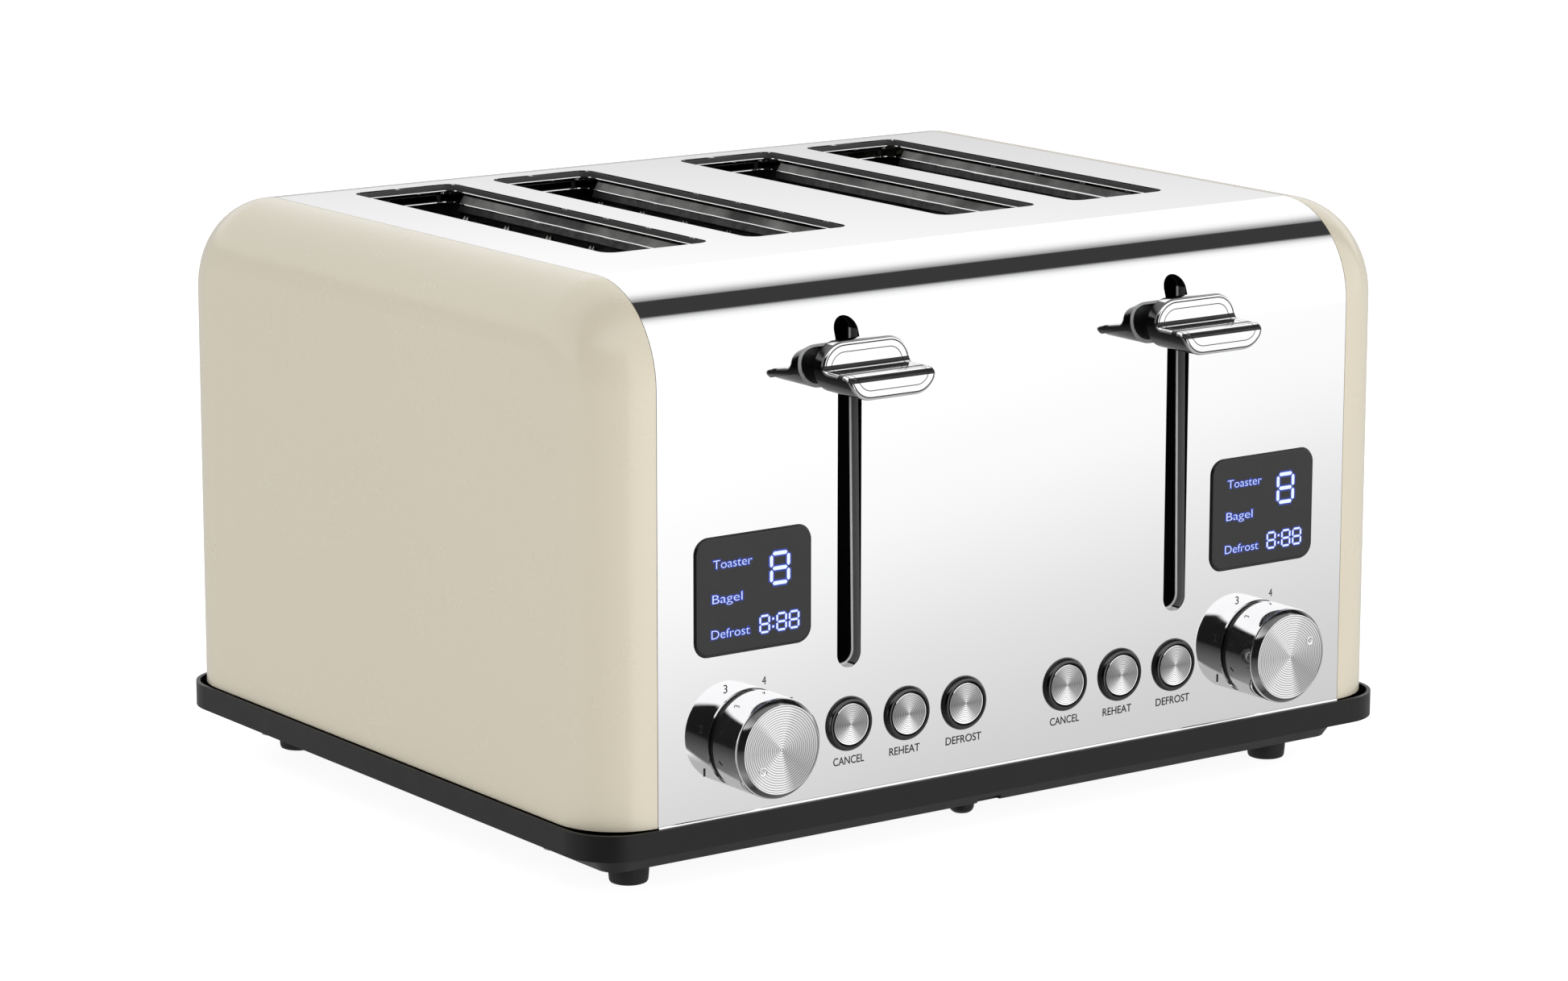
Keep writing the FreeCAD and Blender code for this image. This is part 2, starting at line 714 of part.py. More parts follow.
def make_display_modules():
    modules = []
    back_of_lens = S.lens_thick - S.display_proud
    half_wide, half_high = S.display_wide / 2 - 2, S.display_high / 2 - 2
    for _, sign in SIDES:
        x, z = sign * S.display_x, S.display_z
        low = (x - half_wide, back_of_lens, z - half_high)
        modules.append(box(low, (x + half_wide, S.board_front, z + half_high)))
    keep("display_modules", group(modules))


def make_control_board(side, sign):
    """A board behind the buttons and the dial that reaches up behind the display."""
    body = new_body(f"{side}_control_board")
    face = sketch_on(body, "XZ", -(S.board_front + S.board_skin))
    top = S.display_z + S.display_high / 2 + S.board_above
    outline(face, [
        (sign * S.board_inner, S.board_low),
        (sign * S.board_outer, S.board_low),
        (sign * S.board_outer, top),
        (sign * S.board_step, top),
        (sign * S.board_step, S.board_shoulder),
        (sign * S.board_inner, S.board_shoulder),
    ])
    pad(body, face, S.board_skin)


def make_bezels():
    rings = []
    for _, sign in SIDES:
        for x in BUTTON_XS:
            at = (sign * x, -S.bezel_proud, S.button_z)
            ring = cone(at, S.bezel_sleeve, S.bezel_foot, S.bezel_proud, along_y=True)
            sleeve = rod(at, S.bezel_sleeve, S.bezel_proud + S.sleeve_length, along_y=True)
            bore_at = (sign * x, -2 * S.bezel_proud, S.button_z)
            bore_length = S.sleeve_length + 4 * S.bezel_proud
            bore = rod(bore_at, S.bezel_bore, bore_length, along_y=True)
            rings.append(cut(fuse([ring, sleeve]), bore))
    keep("button_bezels", group(rings))


def make_button(side, sign, name, x):
    """A spun cap with a plunger that reaches the switch behind it."""
    body = new_body(f"{side}_{name}_button", x=sign * x, z=S.button_z)
    profile = sketch_on(body, "XY")
    plunger_end = S.board_front - S.switch_deep - S.button_travel - 0.2
    edge = 0.4
    outline(profile, [
        (0, -S.button_front),
        (S.button_radius - edge, -S.button_front),
        (S.button_radius, edge - S.button_front),
        (S.button_radius, S.cap_length),
        (S.plunger_radius, S.cap_length),
        (S.plunger_radius, plunger_end),
        (0, plunger_end),
    ])
    revolve(body, profile)


def make_button_switches():
    switches = []
    for _, sign in SIDES:
        for x in BUTTON_XS:
            middle = sign * x
            half = S.switch_half
            low = (middle - half, S.board_front - S.switch_deep, S.button_z - half)
            switches.append(box(low, (middle + half, S.board_front, S.button_z + half)))
    keep("button_switches", group(switches))


def make_dial(side, sign, mark_angle):
    """A browning dial with its shaft and the dimple that marks the setting."""
    body = new_body(f"{side}_browning_dial", x=sign * S.dial_x, z=S.dial_z)
    profile = sketch_on(body, "XY")
    outline(profile, [
        (0, -S.dial_front),
        (S.dial_radius - S.dial_bevel, -S.dial_front),
        (S.dial_radius, S.dial_bevel - S.dial_front),
        (S.dial_radius, -S.dial_gap),
        (S.dial_shaft, -S.dial_gap),
        (S.dial_shaft, S.board_front - 1),
        (0, S.board_front - 1),
    ])
    revolve(body, profile)
    mark = sketch_on(body, "XZ", S.dial_front)
    angle = math.radians(mark_angle.value)
    circle(mark, math.cos(angle) * S.dial_mark_out, math.sin(angle) * S.dial_mark_out, S.dial_mark)
    pocket(body, mark, 0.8)


def make_dial_switches():
    """Rotary switches on the boards; the dial shafts turn in them."""
    switches = []
    for _, sign in SIDES:
        x = sign * S.dial_x
        half = S.dial_switch_half
        front = S.board_front - S.dial_switch_deep
        case = box((x - half, front, S.dial_z - half), (x + half, S.board_front, S.dial_z + half))
        bore_at = (x, front - 1, S.dial_z)
        bore = rod(bore_at, S.dial_shaft + S.running_gap, S.board_front, along_y=True)
        switches.append(cut(case, bore))
    keep("dial_switches", group(switches))


# Chassis and heaters -------------------------------------------------------------------------
def make_chassis_plate(label, front, with_slots):
    """A steel plate across the body that stands on the rim's ledge with its two feet."""
    body = new_body(label)
    ledge = S.rim_low + S.floor_skin
    face = sketch_on(body, "XZ", -(front + S.plate_skin))
    outline(face, [
        (-S.plate_foot, ledge),
        (S.plate_foot, ledge),
        (S.plate_foot, S.plate_neck),
        (S.plate_half, S.plate_neck),
        (S.plate_half, S.plate_top),
        (-S.plate_half, S.plate_top),
        (-S.plate_half, S.plate_neck),
        (-S.plate_foot, S.plate_neck),
    ])
    if with_slots:
        for _, x in SLOTS:
            slit_top = S.lifter_top + 3
            rectangle(face, (x - S.lifter_slit, S.slit_low), (x + S.lifter_slit, slit_top))
    pad(body, face, S.plate_skin)


def make_mechanism_supports():
    """The shelf that carries the rods and magnets, and the strap over the rods' upper ends."""
    ledge = S.rim_low + S.floor_skin
    shelf_high = (S.shelf_half, S.plate_front, ledge + S.plate_skin)
    keep("mechanism_shelf", box((-S.shelf_half, S.shelf_front, ledge), shelf_high))
    strap_low = (-S.lever_x - 8, S.rod_y - 5, S.rod_top)
    strap_high = (S.lever_x + 8, S.plate_front, S.rod_top + S.plate_skin)
    keep("rod_strap", box(strap_low, strap_high))


def make_guide_rods():
    shelf = S.rim_low + S.floor_skin + S.plate_skin
    rods = []
    for _, sign in SIDES:
        rods.append(rod((sign * S.lever_x, S.rod_y, shelf), S.rod_radius, S.rod_top - shelf))
    keep("guide_rods", group(rods))


def make_hold_magnets():
    shelf = S.rim_low + S.floor_skin + S.plate_skin
    magnets = []
    for _, sign in SIDES:
        near_x = S.lever_x - S.magnet_out - S.magnet_half
        far_x = S.lever_x - S.magnet_out + S.magnet_half
        depth = (S.magnet_front, S.magnet_back)
        magnets.append(side_box(sign, near_x, far_x, depth, (shelf, S.magnet_top)))
    keep("hold_magnets", group(magnets))


def make_slot_collars():
    """Sheet sleeves that hang under the bread slots."""
    collars = []
    inner = S.slot_width / 2 + S.collar_gap
    outer = inner + S.collar_skin
    inner_front = S.slot_front - S.collar_gap
    inner_back = S.slot_front + S.slot_length + S.collar_gap
    top = S.body_top - S.slot_lip
    for _, x in SLOTS:
        sleeve = box(
            (x - outer, inner_front - S.collar_skin, S.collar_low),
            (x + outer, inner_back + S.collar_skin, top),
        )
        inside_low = (x - inner, inner_front, S.collar_low - 1)
        collars.append(cut(sleeve, box(inside_low, (x + inner, inner_back, top + 1))))
    keep("slot_collars", group(collars))


def heater_xs(sign):
    return [sign * S.heater_inner, sign * S.lever_x, sign * S.heater_outer]


def make_heater_boards(side, sign):
    """Three upright mica boards that stand between the two chassis plates."""
    boards = []
    for x in heater_xs(sign):
        low = (x - S.heater_thick / 2, S.plate_front + S.plate_skin, S.heater_low)
        boards.append(box(low, (x + S.heater_thick / 2, S.plate_rear, S.heater_top)))
    keep(f"{side}_heater_boards", group(boards))


def make_heater_ribbons():
    """Runs of flat heating ribbon on both faces of every board."""
    runs = []
    for _, sign in SIDES:
        for x in heater_xs(sign):
            for turn in range(RIBBON_TURNS):
                z = S.heater_low + 14 + turn * S.ribbon_pitch
                for face in (-1, 1):
                    near_x = x + face * S.heater_thick / 2
                    far_x = near_x + face * S.ribbon_thick
                    low_x, high_x = sorted((near_x, far_x), key=value_of)
                    low = (low_x, S.slot_front, z)
                    high = (high_x, S.slot_front + S.slot_length, z + S.ribbon_high)
                    runs.append(box(low, high, "Ribbon"))
    keep("heater_ribbons", group(runs))


# Lever mechanism -----------------------------------------------------------------------------
def make_lever_knob(side, sign):
    """A solid pill whose front is worked into an upright face, a shelf and a thumb lip."""
    body = new_body(f"{side}_lever_knob", x=sign * S.lever_x)
    profile = sketch_on(body, "YZ")
    outline(profile, [
        (-S.lever_back, S.lever_high),
        (-S.lever_plate, S.lever_high),
        (-S.lever_plate, S.lever_shelf, S.lever_fold),
        (-S.lever_reach, S.lever_shelf, S.lever_brow),
        (-S.lever_reach, S.lever_low),
        (-S.lever_back, S.lever_low),
    ])
    pad(body, profile, 2 * S.lever_half, both_ways=True)
    ends = sketch_on(body, "XZ", S.lever_reach + 4)
    margin = 5
    around_low = (-S.lever_half - margin, S.lever_low - margin)
    rectangle(ends, around_low, (S.lever_half + margin, S.lever_high + margin))
    low = (-S.lever_half, S.lever_low)
    rectangle(ends, low, (S.lever_half, S.lever_high), S.lever_end)
    pocket(body, ends, S.lever_reach + 6)


def make_lever_arm(side, sign):
    """The arm that goes from the lever knob through the slot to the carriage's bush."""
    body = new_body(f"{side}_lever_arm", x=sign * S.lever_x)
    profile = sketch_on(body, "YZ")
    outline(profile, [
        (-S.lever_back, S.arm_low),
        (S.bush_front - 6, S.arm_low),
        (S.bush_front - 6, S.bush_low),
        (S.bush_front, S.bush_low),
        (S.bush_front, S.arm_top),
        (-S.lever_back, S.arm_top),
    ])
    pad(body, profile, S.arm_thick, both_ways=True)


def make_carriage(side, sign):
    """The sliding plate behind the guide rod, with a bush that runs on the rod."""
    near_x, far_x = S.slot_inner - 6, S.slot_outer + 6
    plate_back = S.carriage_front + S.carriage_skin
    upright = (S.carriage_low, S.carriage_top)
    plate = side_box(sign, near_x, far_x, (S.carriage_front, plate_back), upright)
    bush = side_box(
        sign,
        S.lever_x - S.bush_half,
        S.lever_x + S.bush_half,
        (S.bush_front, S.carriage_front),
        (S.bush_low, S.carriage_top),
    )
    bore_low = (sign * S.lever_x, S.rod_y, S.bush_low - 1)
    bore = rod(bore_low, S.rod_radius + S.running_gap, S.carriage_top - S.bush_low + 2)
    keep(f"{side}_carriage", cut(fuse([plate, bush]), bore))


def make_armature(side, sign):
    """The steel tongue that the hold magnet keeps down."""
    near_x = S.lever_x - S.magnet_out - S.magnet_half + 1
    far_x = S.lever_x - S.magnet_out + S.magnet_half - 1
    low = S.magnet_top + S.lever_travel + 0.4
    depth = (S.magnet_front + 2, S.carriage_front)
    tongue = side_box(sign, near_x, far_x, depth, (low, low + S.armature_skin))
    keep(f"{side}_armature", tongue)


def make_bread_lifter(name, x):
    """A bar on edge with rungs that carry the bread."""
    back_of_carriage = S.carriage_front + S.carriage_skin
    half = S.lifter_thick / 2
    bar = box((x - half, back_of_carriage, S.lifter_low), (x + half, S.lifter_rear, S.lifter_top))
    parts = [bar]
    spread = (S.slot_length - 12) / (LIFTER_RUNGS - 1)
    for rung in range(LIFTER_RUNGS):
        y = S.slot_front + 6 + rung * spread
        low = (x - S.lifter_half, y - half, S.lifter_top - 4)
        parts.append(box(low, (x + S.lifter_half, y + half, S.lifter_top)))
    keep(f"{name}_bread_lifter", fuse(parts))


def make_return_spring(side, sign):
    """A compression spring round the guide rod, under the carriage's bush."""
    foot = S.rim_low + S.floor_skin + S.plate_skin + 2 * S.spring_wire
    body = new_body(f"{side}_return_spring", x=sign * S.lever_x)
    bind(body, "Placement.Base.y", FACE_Y + S.rod_y)
    wire = sketch_on(body, "XZ")
    circle(wire, S.spring_radius, foot, S.spring_wire)
    coil = body.newObject("PartDesign::AdditiveHelix", "Coil")
    coil.Profile = wire
    coil.ReferenceAxis = (wire, ["V_Axis"])
    coil.Mode = 0
    bind(coil, "Pitch", S.spring_pitch)
    bind(coil, "Height", S.bush_low - foot - 2 * S.spring_wire)
    body.Tip = coil


def make_bread_guide(label, x):
    """A wire grid beside the bread that tips inwards about its lowest wire."""
    wires = []
    length = S.plate_rear - S.plate_front - S.plate_skin - 1
    front = S.plate_front + S.plate_skin + 0.5
    wires.append(rod((x, front, S.guide_low), S.guide_wire, length, along_y=True))
    spread = (S.slot_length - 16) / (GUIDE_UPRIGHTS - 1)
    first = S.slot_front + 8
    for z in (S.guide_low + 60, S.guide_top - 8):
        run = (GUIDE_UPRIGHTS - 1) * spread + 6
        wires.append(rod((x, first - 3, z), S.guide_wire, run, along_y=True))
    for upright in range(GUIDE_UPRIGHTS):
        at = (x, first + upright * spread, S.guide_low)
        wires.append(rod(at, S.guide_upright, S.guide_top - S.guide_low))
    keep(label, fuse(wires))


# Crumb trays ---------------------------------------------------------------------------------
def make_crumb_tray(side, sign):
    """A shallow tray with a handle, drawn out at the back of the pan."""
    skin = 1.0
    across = (S.tray_inner, S.tray_outer)
    sheet_range = (S.tray_low, S.tray_low + skin)
    wall_range = (S.tray_low, S.tray_high)
    parts = [
        side_box(sign, *across, (S.tray_front, S.tray_rear), sheet_range),
        side_box(sign, *across, (S.tray_front, S.tray_front + skin), wall_range),
        side_box(sign, S.tray_inner, S.tray_inner + skin, (S.tray_front, S.tray_rear), wall_range),
        side_box(sign, S.tray_outer - skin, S.tray_outer, (S.tray_front, S.tray_rear), wall_range),
        side_box(sign, *across, (S.tray_rear, S.tray_rear + S.tray_handle), wall_range),
    ]
    keep(f"{side}_crumb_tray", fuse(parts))


def build():
    make_outer_wrap()
    make_base_tray()
    make_feet()
    make_cord_gland()
    make_base_screws()
    make_bezels()
    make_button_switches()
    make_dial_switches()
    make_display_modules()
    make_chassis_plate("front_chassis_plate", S.plate_front, with_slots=True)
    make_chassis_plate("rear_chassis_plate", S.plate_rear, with_slots=False)
    make_mechanism_supports()
    make_guide_rods()
    make_hold_magnets()
    make_slot_collars()
    make_heater_ribbons()
    for (side, sign), mark_angle in zip(SIDES, (S.left_mark, S.right_mark)):
        make_side_panel(side, sign)
        make_display(side, sign)
        make_control_board(side, sign)
        make_dial(side, sign, mark_angle)
        make_heater_boards(side, sign)
        make_lever_knob(side, sign)
        make_lever_arm(side, sign)
        make_carriage(side, sign)
        make_armature(side, sign)
        make_return_spring(side, sign)
        make_crumb_tray(side, sign)
        names = BUTTON_NAMES if sign > 0 else reversed(BUTTON_NAMES)
        for name, x in zip(names, BUTTON_XS):
            make_button(side, sign, name, x)
    for name, x in SLOTS:
        make_bread_lifter(name, x)
        make_bread_guide(f"{name}_guide_left", x - S.guide_out)
        make_bread_guide(f"{name}_guide_right", x + S.guide_out)


def check_and_write():
    """Stops on any failed object, then writes one STEP file for each sub-part."""
    doc.recompute()
    for obj in doc.Objects:
        if "Invalid" in obj.State or "Error" in obj.State:
            raise RuntimeError(f"{obj.Label} ({obj.TypeId}) failed: {obj.State}")
    os.makedirs("parts", exist_ok=True)
    for label, obj in sorted(pieces.items()):
        shape = obj.Shape
        if shape.isNull() or not shape.isValid():
            raise RuntimeError(f"{label} has no valid shape")
        shape.exportStep(f"parts/{label}.step")
        span = shape.BoundBox
        print(
            f"{label}: {len(shape.Solids)} solid(s), {shape.Volume:.0f} mm3, "
            f"x {span.XMin:.1f}..{span.XMax:.1f} y {span.YMin:.1f}..{span.YMax:.1f} "
            f"z {span.ZMin:.1f}..{span.ZMax:.1f}"
        )


build()
check_and_write()
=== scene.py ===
"""Looks of the four-slice pop-up toaster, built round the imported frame.

Inside this file a point is (x, depth, z) in millimetres: depth is counted back from the front
face of the chrome wrap, as in the CAD. spot() turns it into a Blender point in metres.
"""

import math

import bmesh
import bpy
from mathutils import Matrix, Vector


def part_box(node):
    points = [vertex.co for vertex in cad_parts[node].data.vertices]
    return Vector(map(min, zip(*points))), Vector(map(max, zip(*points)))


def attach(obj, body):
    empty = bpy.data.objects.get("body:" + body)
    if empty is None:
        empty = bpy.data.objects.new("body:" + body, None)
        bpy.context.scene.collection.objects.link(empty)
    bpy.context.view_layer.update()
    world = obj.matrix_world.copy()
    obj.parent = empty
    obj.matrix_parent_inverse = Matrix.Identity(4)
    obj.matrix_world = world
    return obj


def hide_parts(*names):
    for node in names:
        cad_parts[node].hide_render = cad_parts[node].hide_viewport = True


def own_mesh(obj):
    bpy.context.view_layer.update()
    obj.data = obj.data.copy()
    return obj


MM = 0.001
WRAP_BEND = 30.5
SLOT_HALF_WIDTH = 19.45
SLOT_CORNER = 4.5
HOOK_TOP = 176.5
HOOK_ROUND = 3.0
GUIDE_UPRIGHTS = 6
LEVER_SLOT_HALF = 4.45
LEVER_SLOT_LOW = 62.7
LEVER_SLOT_HIGH = 170.2
LEVER_SLOT_END = 4.5
LEVER_PLATE = 8.5
LEVER_SHELF = 156.6
LEVER_FOLD = 2.0
LEVER_BROW = 3.2
KNOB_EDGE = 1.1
LINER_BACK = 25.2
SIDES = (("left", -1), ("right", 1))
BREAD_SLOTS = ("left_outer", "left_inner", "right_inner", "right_outer")
BUTTONS = ("cancel", "reheat", "defrost")

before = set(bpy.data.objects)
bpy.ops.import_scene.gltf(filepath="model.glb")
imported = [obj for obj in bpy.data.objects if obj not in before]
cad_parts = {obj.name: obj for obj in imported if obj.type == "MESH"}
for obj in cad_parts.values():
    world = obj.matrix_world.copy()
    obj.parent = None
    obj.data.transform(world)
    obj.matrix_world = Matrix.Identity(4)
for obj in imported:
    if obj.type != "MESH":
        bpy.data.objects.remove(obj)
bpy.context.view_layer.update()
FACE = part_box("outer_wrap")[0].y
WRAP_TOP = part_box("outer_wrap")[1].z / MM
scene = bpy.context.scene
collection = scene.collection


def spot(x, depth, z):
    return Vector((x * MM, FACE + depth * MM, z * MM))


def box_mm(node):
    """A CAD node's box as (x0, x1), (depth0, depth1), (z0, z1) in millimetres."""
    low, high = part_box(node)
    xs = (low.x / MM, high.x / MM)
    depths = ((low.y - FACE) / MM, (high.y - FACE) / MM)
    return xs, depths, (low.z / MM, high.z / MM)


def middle(span):
    return (span[0] + span[1]) / 2


# Node helpers --------------------------------------------------------------------------------
class Nodes:
    """Short calls for building a node tree."""

    def __init__(self, tree):
        self.tree = tree

    def add(self, kind, **settings):
        node = self.tree.nodes.new(kind)
        for name, value in settings.items():
            setattr(node, name, value)
        return node

    def feed(self, socket, source):
        if isinstance(source, bpy.types.NodeSocket):
            self.tree.links.new(source, socket)
        else:
            socket.default_value = source

    def math(self, operation, *inputs):
        node = self.add("ShaderNodeMath", operation=operation)
        for socket, source in zip(node.inputs, inputs):
            self.feed(socket, source)
        return node.outputs[0]

    def ramp(self, factor, stops):
        """A ramp through (position, colour) stops, where a plain number is a grey."""
        node = self.add("ShaderNodeValToRGB")
        elements = node.color_ramp.elements
        while len(elements) < len(stops):
            elements.new(0.5)
        for element, (position, colour) in zip(elements, stops):
            element.position = position
            element.color = rgba(colour)
        self.feed(node.inputs["Fac"], factor)
        return node.outputs["Color"]

    def noise(self, scale, detail=3.0, roughness=0.5, vector=None):
        node = self.add("ShaderNodeTexNoise")
        node.inputs["Scale"].default_value = scale
        node.inputs["Detail"].default_value = detail
        node.inputs["Roughness"].default_value = roughness
        if vector is not None:
            self.feed(node.inputs["Vector"], vector)
        return node.outputs["Fac"]

    def mix(self, factor, first, second, blend="MIX"):
        node = self.add("ShaderNodeMix", data_type="RGBA", blend_type=blend)
        self.feed(node.inputs[0], factor)
        self.feed(node.inputs[6], first if not is_colour(first) else rgba(first))
        self.feed(node.inputs[7], second if not is_colour(second) else rgba(second))
        return node.outputs[2]

    def turned(self, reflection_wedges, pitch):
        """Painted reflection as shares by angle round the object's own Y axis, with fine dark tool
        marks.
        """
        split = self.add("ShaderNodeSeparateXYZ")
        self.feed(split.inputs[0], self.object_vector())
        x, z = split.outputs["X"], split.outputs["Z"]
        angle = self.math("ARCTAN2", z, x)
        share = self.math("MULTIPLY_ADD", angle, 0.5 / math.pi, 0.5)
        # Painted reflection: brightness by angle stands in for the spun face's highlights and dark
        # sectors.
        tone = self.ramp(share, [((angle + 180) / 360, value) for angle, value in reflection_wedges])
        if not pitch:
            return tone
        reach = self.math("SQRT", self.math("ADD", self.math("MULTIPLY", x, x),
                                            self.math("MULTIPLY", z, z)))
        cycle = self.math("FRACT", self.math("MULTIPLY", reach, 1 / pitch))
        marks = self.ramp(cycle, [(0.0, 1.0), (0.5, 1.0), (0.64, 0.36), (0.82, 0.36), (1.0, 1.0)])
        return self.mix(1.0, tone, marks, "MULTIPLY")

    def object_vector(self):
        return self.add("ShaderNodeTexCoord").outputs["Object"]


def is_colour(value):
    return isinstance(value, (int, float, tuple))


def rgba(colour):
    return (colour, colour, colour, 1) if isinstance(colour, (int, float)) else (*colour, 1)


def surface(name, colour, rough, metal=0.0, tone=(30.0, 0.04), grain=None, wear=0.05,
            coat=0.0, specular=0.5, reflection_wedges=None, pitch=0.0, painted_glint=0.0):
    """A painted, moulded or metal finish.

    tone is the scale and share of the colour's drift, grain the scale, strength and depth (m)
    of its relief, and wear the share by which its roughness drifts. A turned part also has
    reflection_wedges, a painted reflection given as its colour's share by angle (degrees) round
    its axis, the pitch (m) of its tool marks, and painted_glint, a painted glint that makes its
    colour glow as emission for the glint of its fine lines.
    """
    material = bpy.data.materials.new(name)
    material.use_nodes = True
    nodes = Nodes(material.node_tree)
    shader = material.node_tree.nodes["Principled BSDF"]
    where = nodes.object_vector()
    drift = nodes.noise(tone[0], vector=where)
    low = tuple(part * (1 - tone[1]) for part in colour)
    high = tuple(min(1, part * (1 + tone[1])) for part in colour)
    tint_and_reflection = nodes.ramp(drift, [(0.3, low), (0.7, high)])
    # Painted reflection: the wedges multiply the colour by a brightness set by angle round the
    # part's axis.
    if reflection_wedges:
        tint_and_reflection = nodes.mix(1.0, tint_and_reflection, nodes.turned(reflection_wedges, pitch), "MULTIPLY")
    nodes.feed(shader.inputs["Base Color"], tint_and_reflection)
    scuffs = nodes.noise(tone[0] * 3.7, 5, 0.6, where)
    span = nodes.ramp(scuffs, [(0.3, rough * (1 - wear)), (0.7, min(1, rough * (1 + wear)))])
    nodes.feed(shader.inputs["Roughness"], span)
    shader.inputs["Metallic"].default_value = metal
    shader.inputs["Specular IOR Level"].default_value = specular
    shader.inputs["Coat Weight"].default_value = coat
    # Painted glint: the turned part's colour also glows a little as emission.
    if reflection_wedges:
        nodes.feed(shader.inputs["Emission Color"], tint_and_reflection)
        shader.inputs["Emission Strength"].default_value = painted_glint
    shader.inputs["Coat Roughness"].default_value = 0.12
    if grain:
        bump = nodes.add("ShaderNodeBump")
        bump.inputs["Strength"].default_value = grain[1]
        bump.inputs["Distance"].default_value = grain[2]
        nodes.feed(bump.inputs["Height"], nodes.noise(grain[0], 4, 0.55, where))
        nodes.feed(shader.inputs["Normal"], bump.outputs["Normal"])
    return material


def glow(name, colour, strength):
    """A lit printed layer of the display, a little uneven like a real one."""
    material = bpy.data.materials.new(name)
    material.use_nodes = True
    nodes = Nodes(material.node_tree)
    shader = material.node_tree.nodes["Principled BSDF"]
    shader.inputs["Base Color"].default_value = rgba((0.004, 0.004, 0.006))
    shader.inputs["Roughness"].default_value = 0.4
    uneven = nodes.noise(900.0, 2, 0.5, nodes.object_vector())
    dim = tuple(part * 0.9 for part in colour)
    lit = nodes.ramp(uneven, [(0.35, dim), (0.65, colour)])
    nodes.feed(shader.inputs["Emission Color"], lit)
    shader.inputs["Emission Strength"].default_value = strength
    return material


CHROME = surface("chrome_sheet", (0.93, 0.93, 0.935), 0.035, 1.0, tone=(9, 0.004),
                 grain=(6, 0.02, 0.0004), wear=0.25)
CHROME_PART = surface("chrome_casting", (0.93, 0.93, 0.935), 0.05, 1.0, tone=(60, 0.01),
                      grain=(120, 0.02, 0.0001), wear=0.3)
CREAM = surface("cream_enamel", (0.655, 0.598, 0.47), 0.27, tone=(7, 0.01),
                grain=(900, 0.012, 0.00003), coat=0.4, wear=0.04)
BLACK = surface("black_base", (0.009, 0.009, 0.009), 0.4, tone=(40, 0.08),
                grain=(1400, 0.1, 0.00006), wear=0.12, specular=0.28)
RUBBER = surface("foot_rubber", (0.014, 0.014, 0.014), 0.66, tone=(120, 0.12),
                 grain=(900, 0.3, 0.0001), wear=0.1, specular=0.35)
GLAND = surface("gland_plastic", (0.018, 0.018, 0.018), 0.5, tone=(90, 0.1),
                grain=(1100, 0.2, 0.0001), wear=0.1)
LENS = surface("display_glass", (0.03, 0.03, 0.031), 0.34, tone=(200, 0.03),
               grain=(1500, 0.03, 0.00003), wear=0.1, specular=0.25)
LENS_EDGE = surface("display_edge", (0.008, 0.008, 0.008), 0.22, tone=(200, 0.05),
                    grain=(1500, 0.03, 0.00003), wear=0.1)
BOARD = surface("board_laminate", (0.03, 0.12, 0.05), 0.45, tone=(160, 0.15),
                grain=(500, 0.2, 0.0001), wear=0.1)
MODULE = surface("module_plastic", (0.03, 0.03, 0.032), 0.5, tone=(90, 0.1),
                 grain=(700, 0.2, 0.0001), wear=0.1)
# Dark chrome of the button rings; also painted shade on the lower sides of the lever knobs.
DARK_CHROME_AND_PAINTED_SHADE = surface("dark_chrome", (0.1, 0.1, 0.102), 0.16, 1.0, tone=(150, 0.06),
                      grain=(200, 0.03, 0.00005), wear=0.3)
# Black of the dial collars, lever slot liners, button ring feet and the lever knobs' back
# recesses; also painted dark reflection on the lever slots' chrome lips.
RING_BLACK_AND_PAINTED_DARK = surface("ring_black_and_painted_dark", (0.008, 0.008, 0.008), 0.35, tone=(150, 0.1),
                     grain=(900, 0.1, 0.00005), wear=0.2)
# Painted reflection: the spun dial face's colour is lit and darkened by angle, and it glows
# faintly as a painted glint.
DIAL_FACE = surface("spun_dial", (0.99, 0.99, 0.99), 0.3, 1.0, tone=(150, 0.005), wear=0.03,
                    painted_glint=0.14, pitch=0.00074, reflection_wedges=(
                        (-180, 0.66), (-146, 0.78), (-130, 1.0), (-84, 1.0), (-68, 0.56),
                        (-40, 0.5), (0, 0.62), (40, 0.78), (66, 0.84), (78, 1.0), (126, 1.0),
                        (140, 0.72), (180, 0.66)))
# Painted reflection: the spun button cap's colour is lit and darkened by angle, and it glows
# faintly as a painted glint.
CAP_FACE = surface("spun_cap", (0.99, 0.99, 0.99), 0.3, 1.0, tone=(150, 0.005), wear=0.03,
                   painted_glint=0.14, pitch=0.0006, reflection_wedges=(
                       (-180, 0.3), (-150, 0.5), (-118, 0.95), (-104, 1.0), (-84, 1.0), (-70, 0.8),
                       (-45, 0.4), (0, 0.28), (40, 0.5), (72, 0.9), (82, 1.0), (102, 1.0),
                       (114, 0.85), (140, 0.45), (180, 0.3)))
# Painted reflection: the bevel's colour is set wholly by angle round its axis, painting in bright
# and dark reflections.
BEVEL = surface("turned_bevel", (0.9, 0.9, 0.91), 0.1, 1.0, tone=(120, 0.02), wear=0.2, reflection_wedges=(
    (-180, 0.95), (-155, 0.8), (-135, 0.14), (-40, 0.12), (-15, 0.5), (15, 0.75), (45, 0.3),
    (62, 0.12), (84, 0.2), (90, 0.5), (96, 0.2), (132, 0.16), (150, 0.6), (165, 1.0),
    (180, 0.95)))
POLISHED = surface("polished_aluminium", (0.9, 0.9, 0.91), 0.07, 1.0, tone=(120, 0.02),
                   grain=(600, 0.03, 0.00002), wear=0.3)
SWITCH = surface("switch_plastic", (0.05, 0.05, 0.055), 0.5, tone=(200, 0.1),
                 grain=(900, 0.1, 0.00005), wear=0.1)
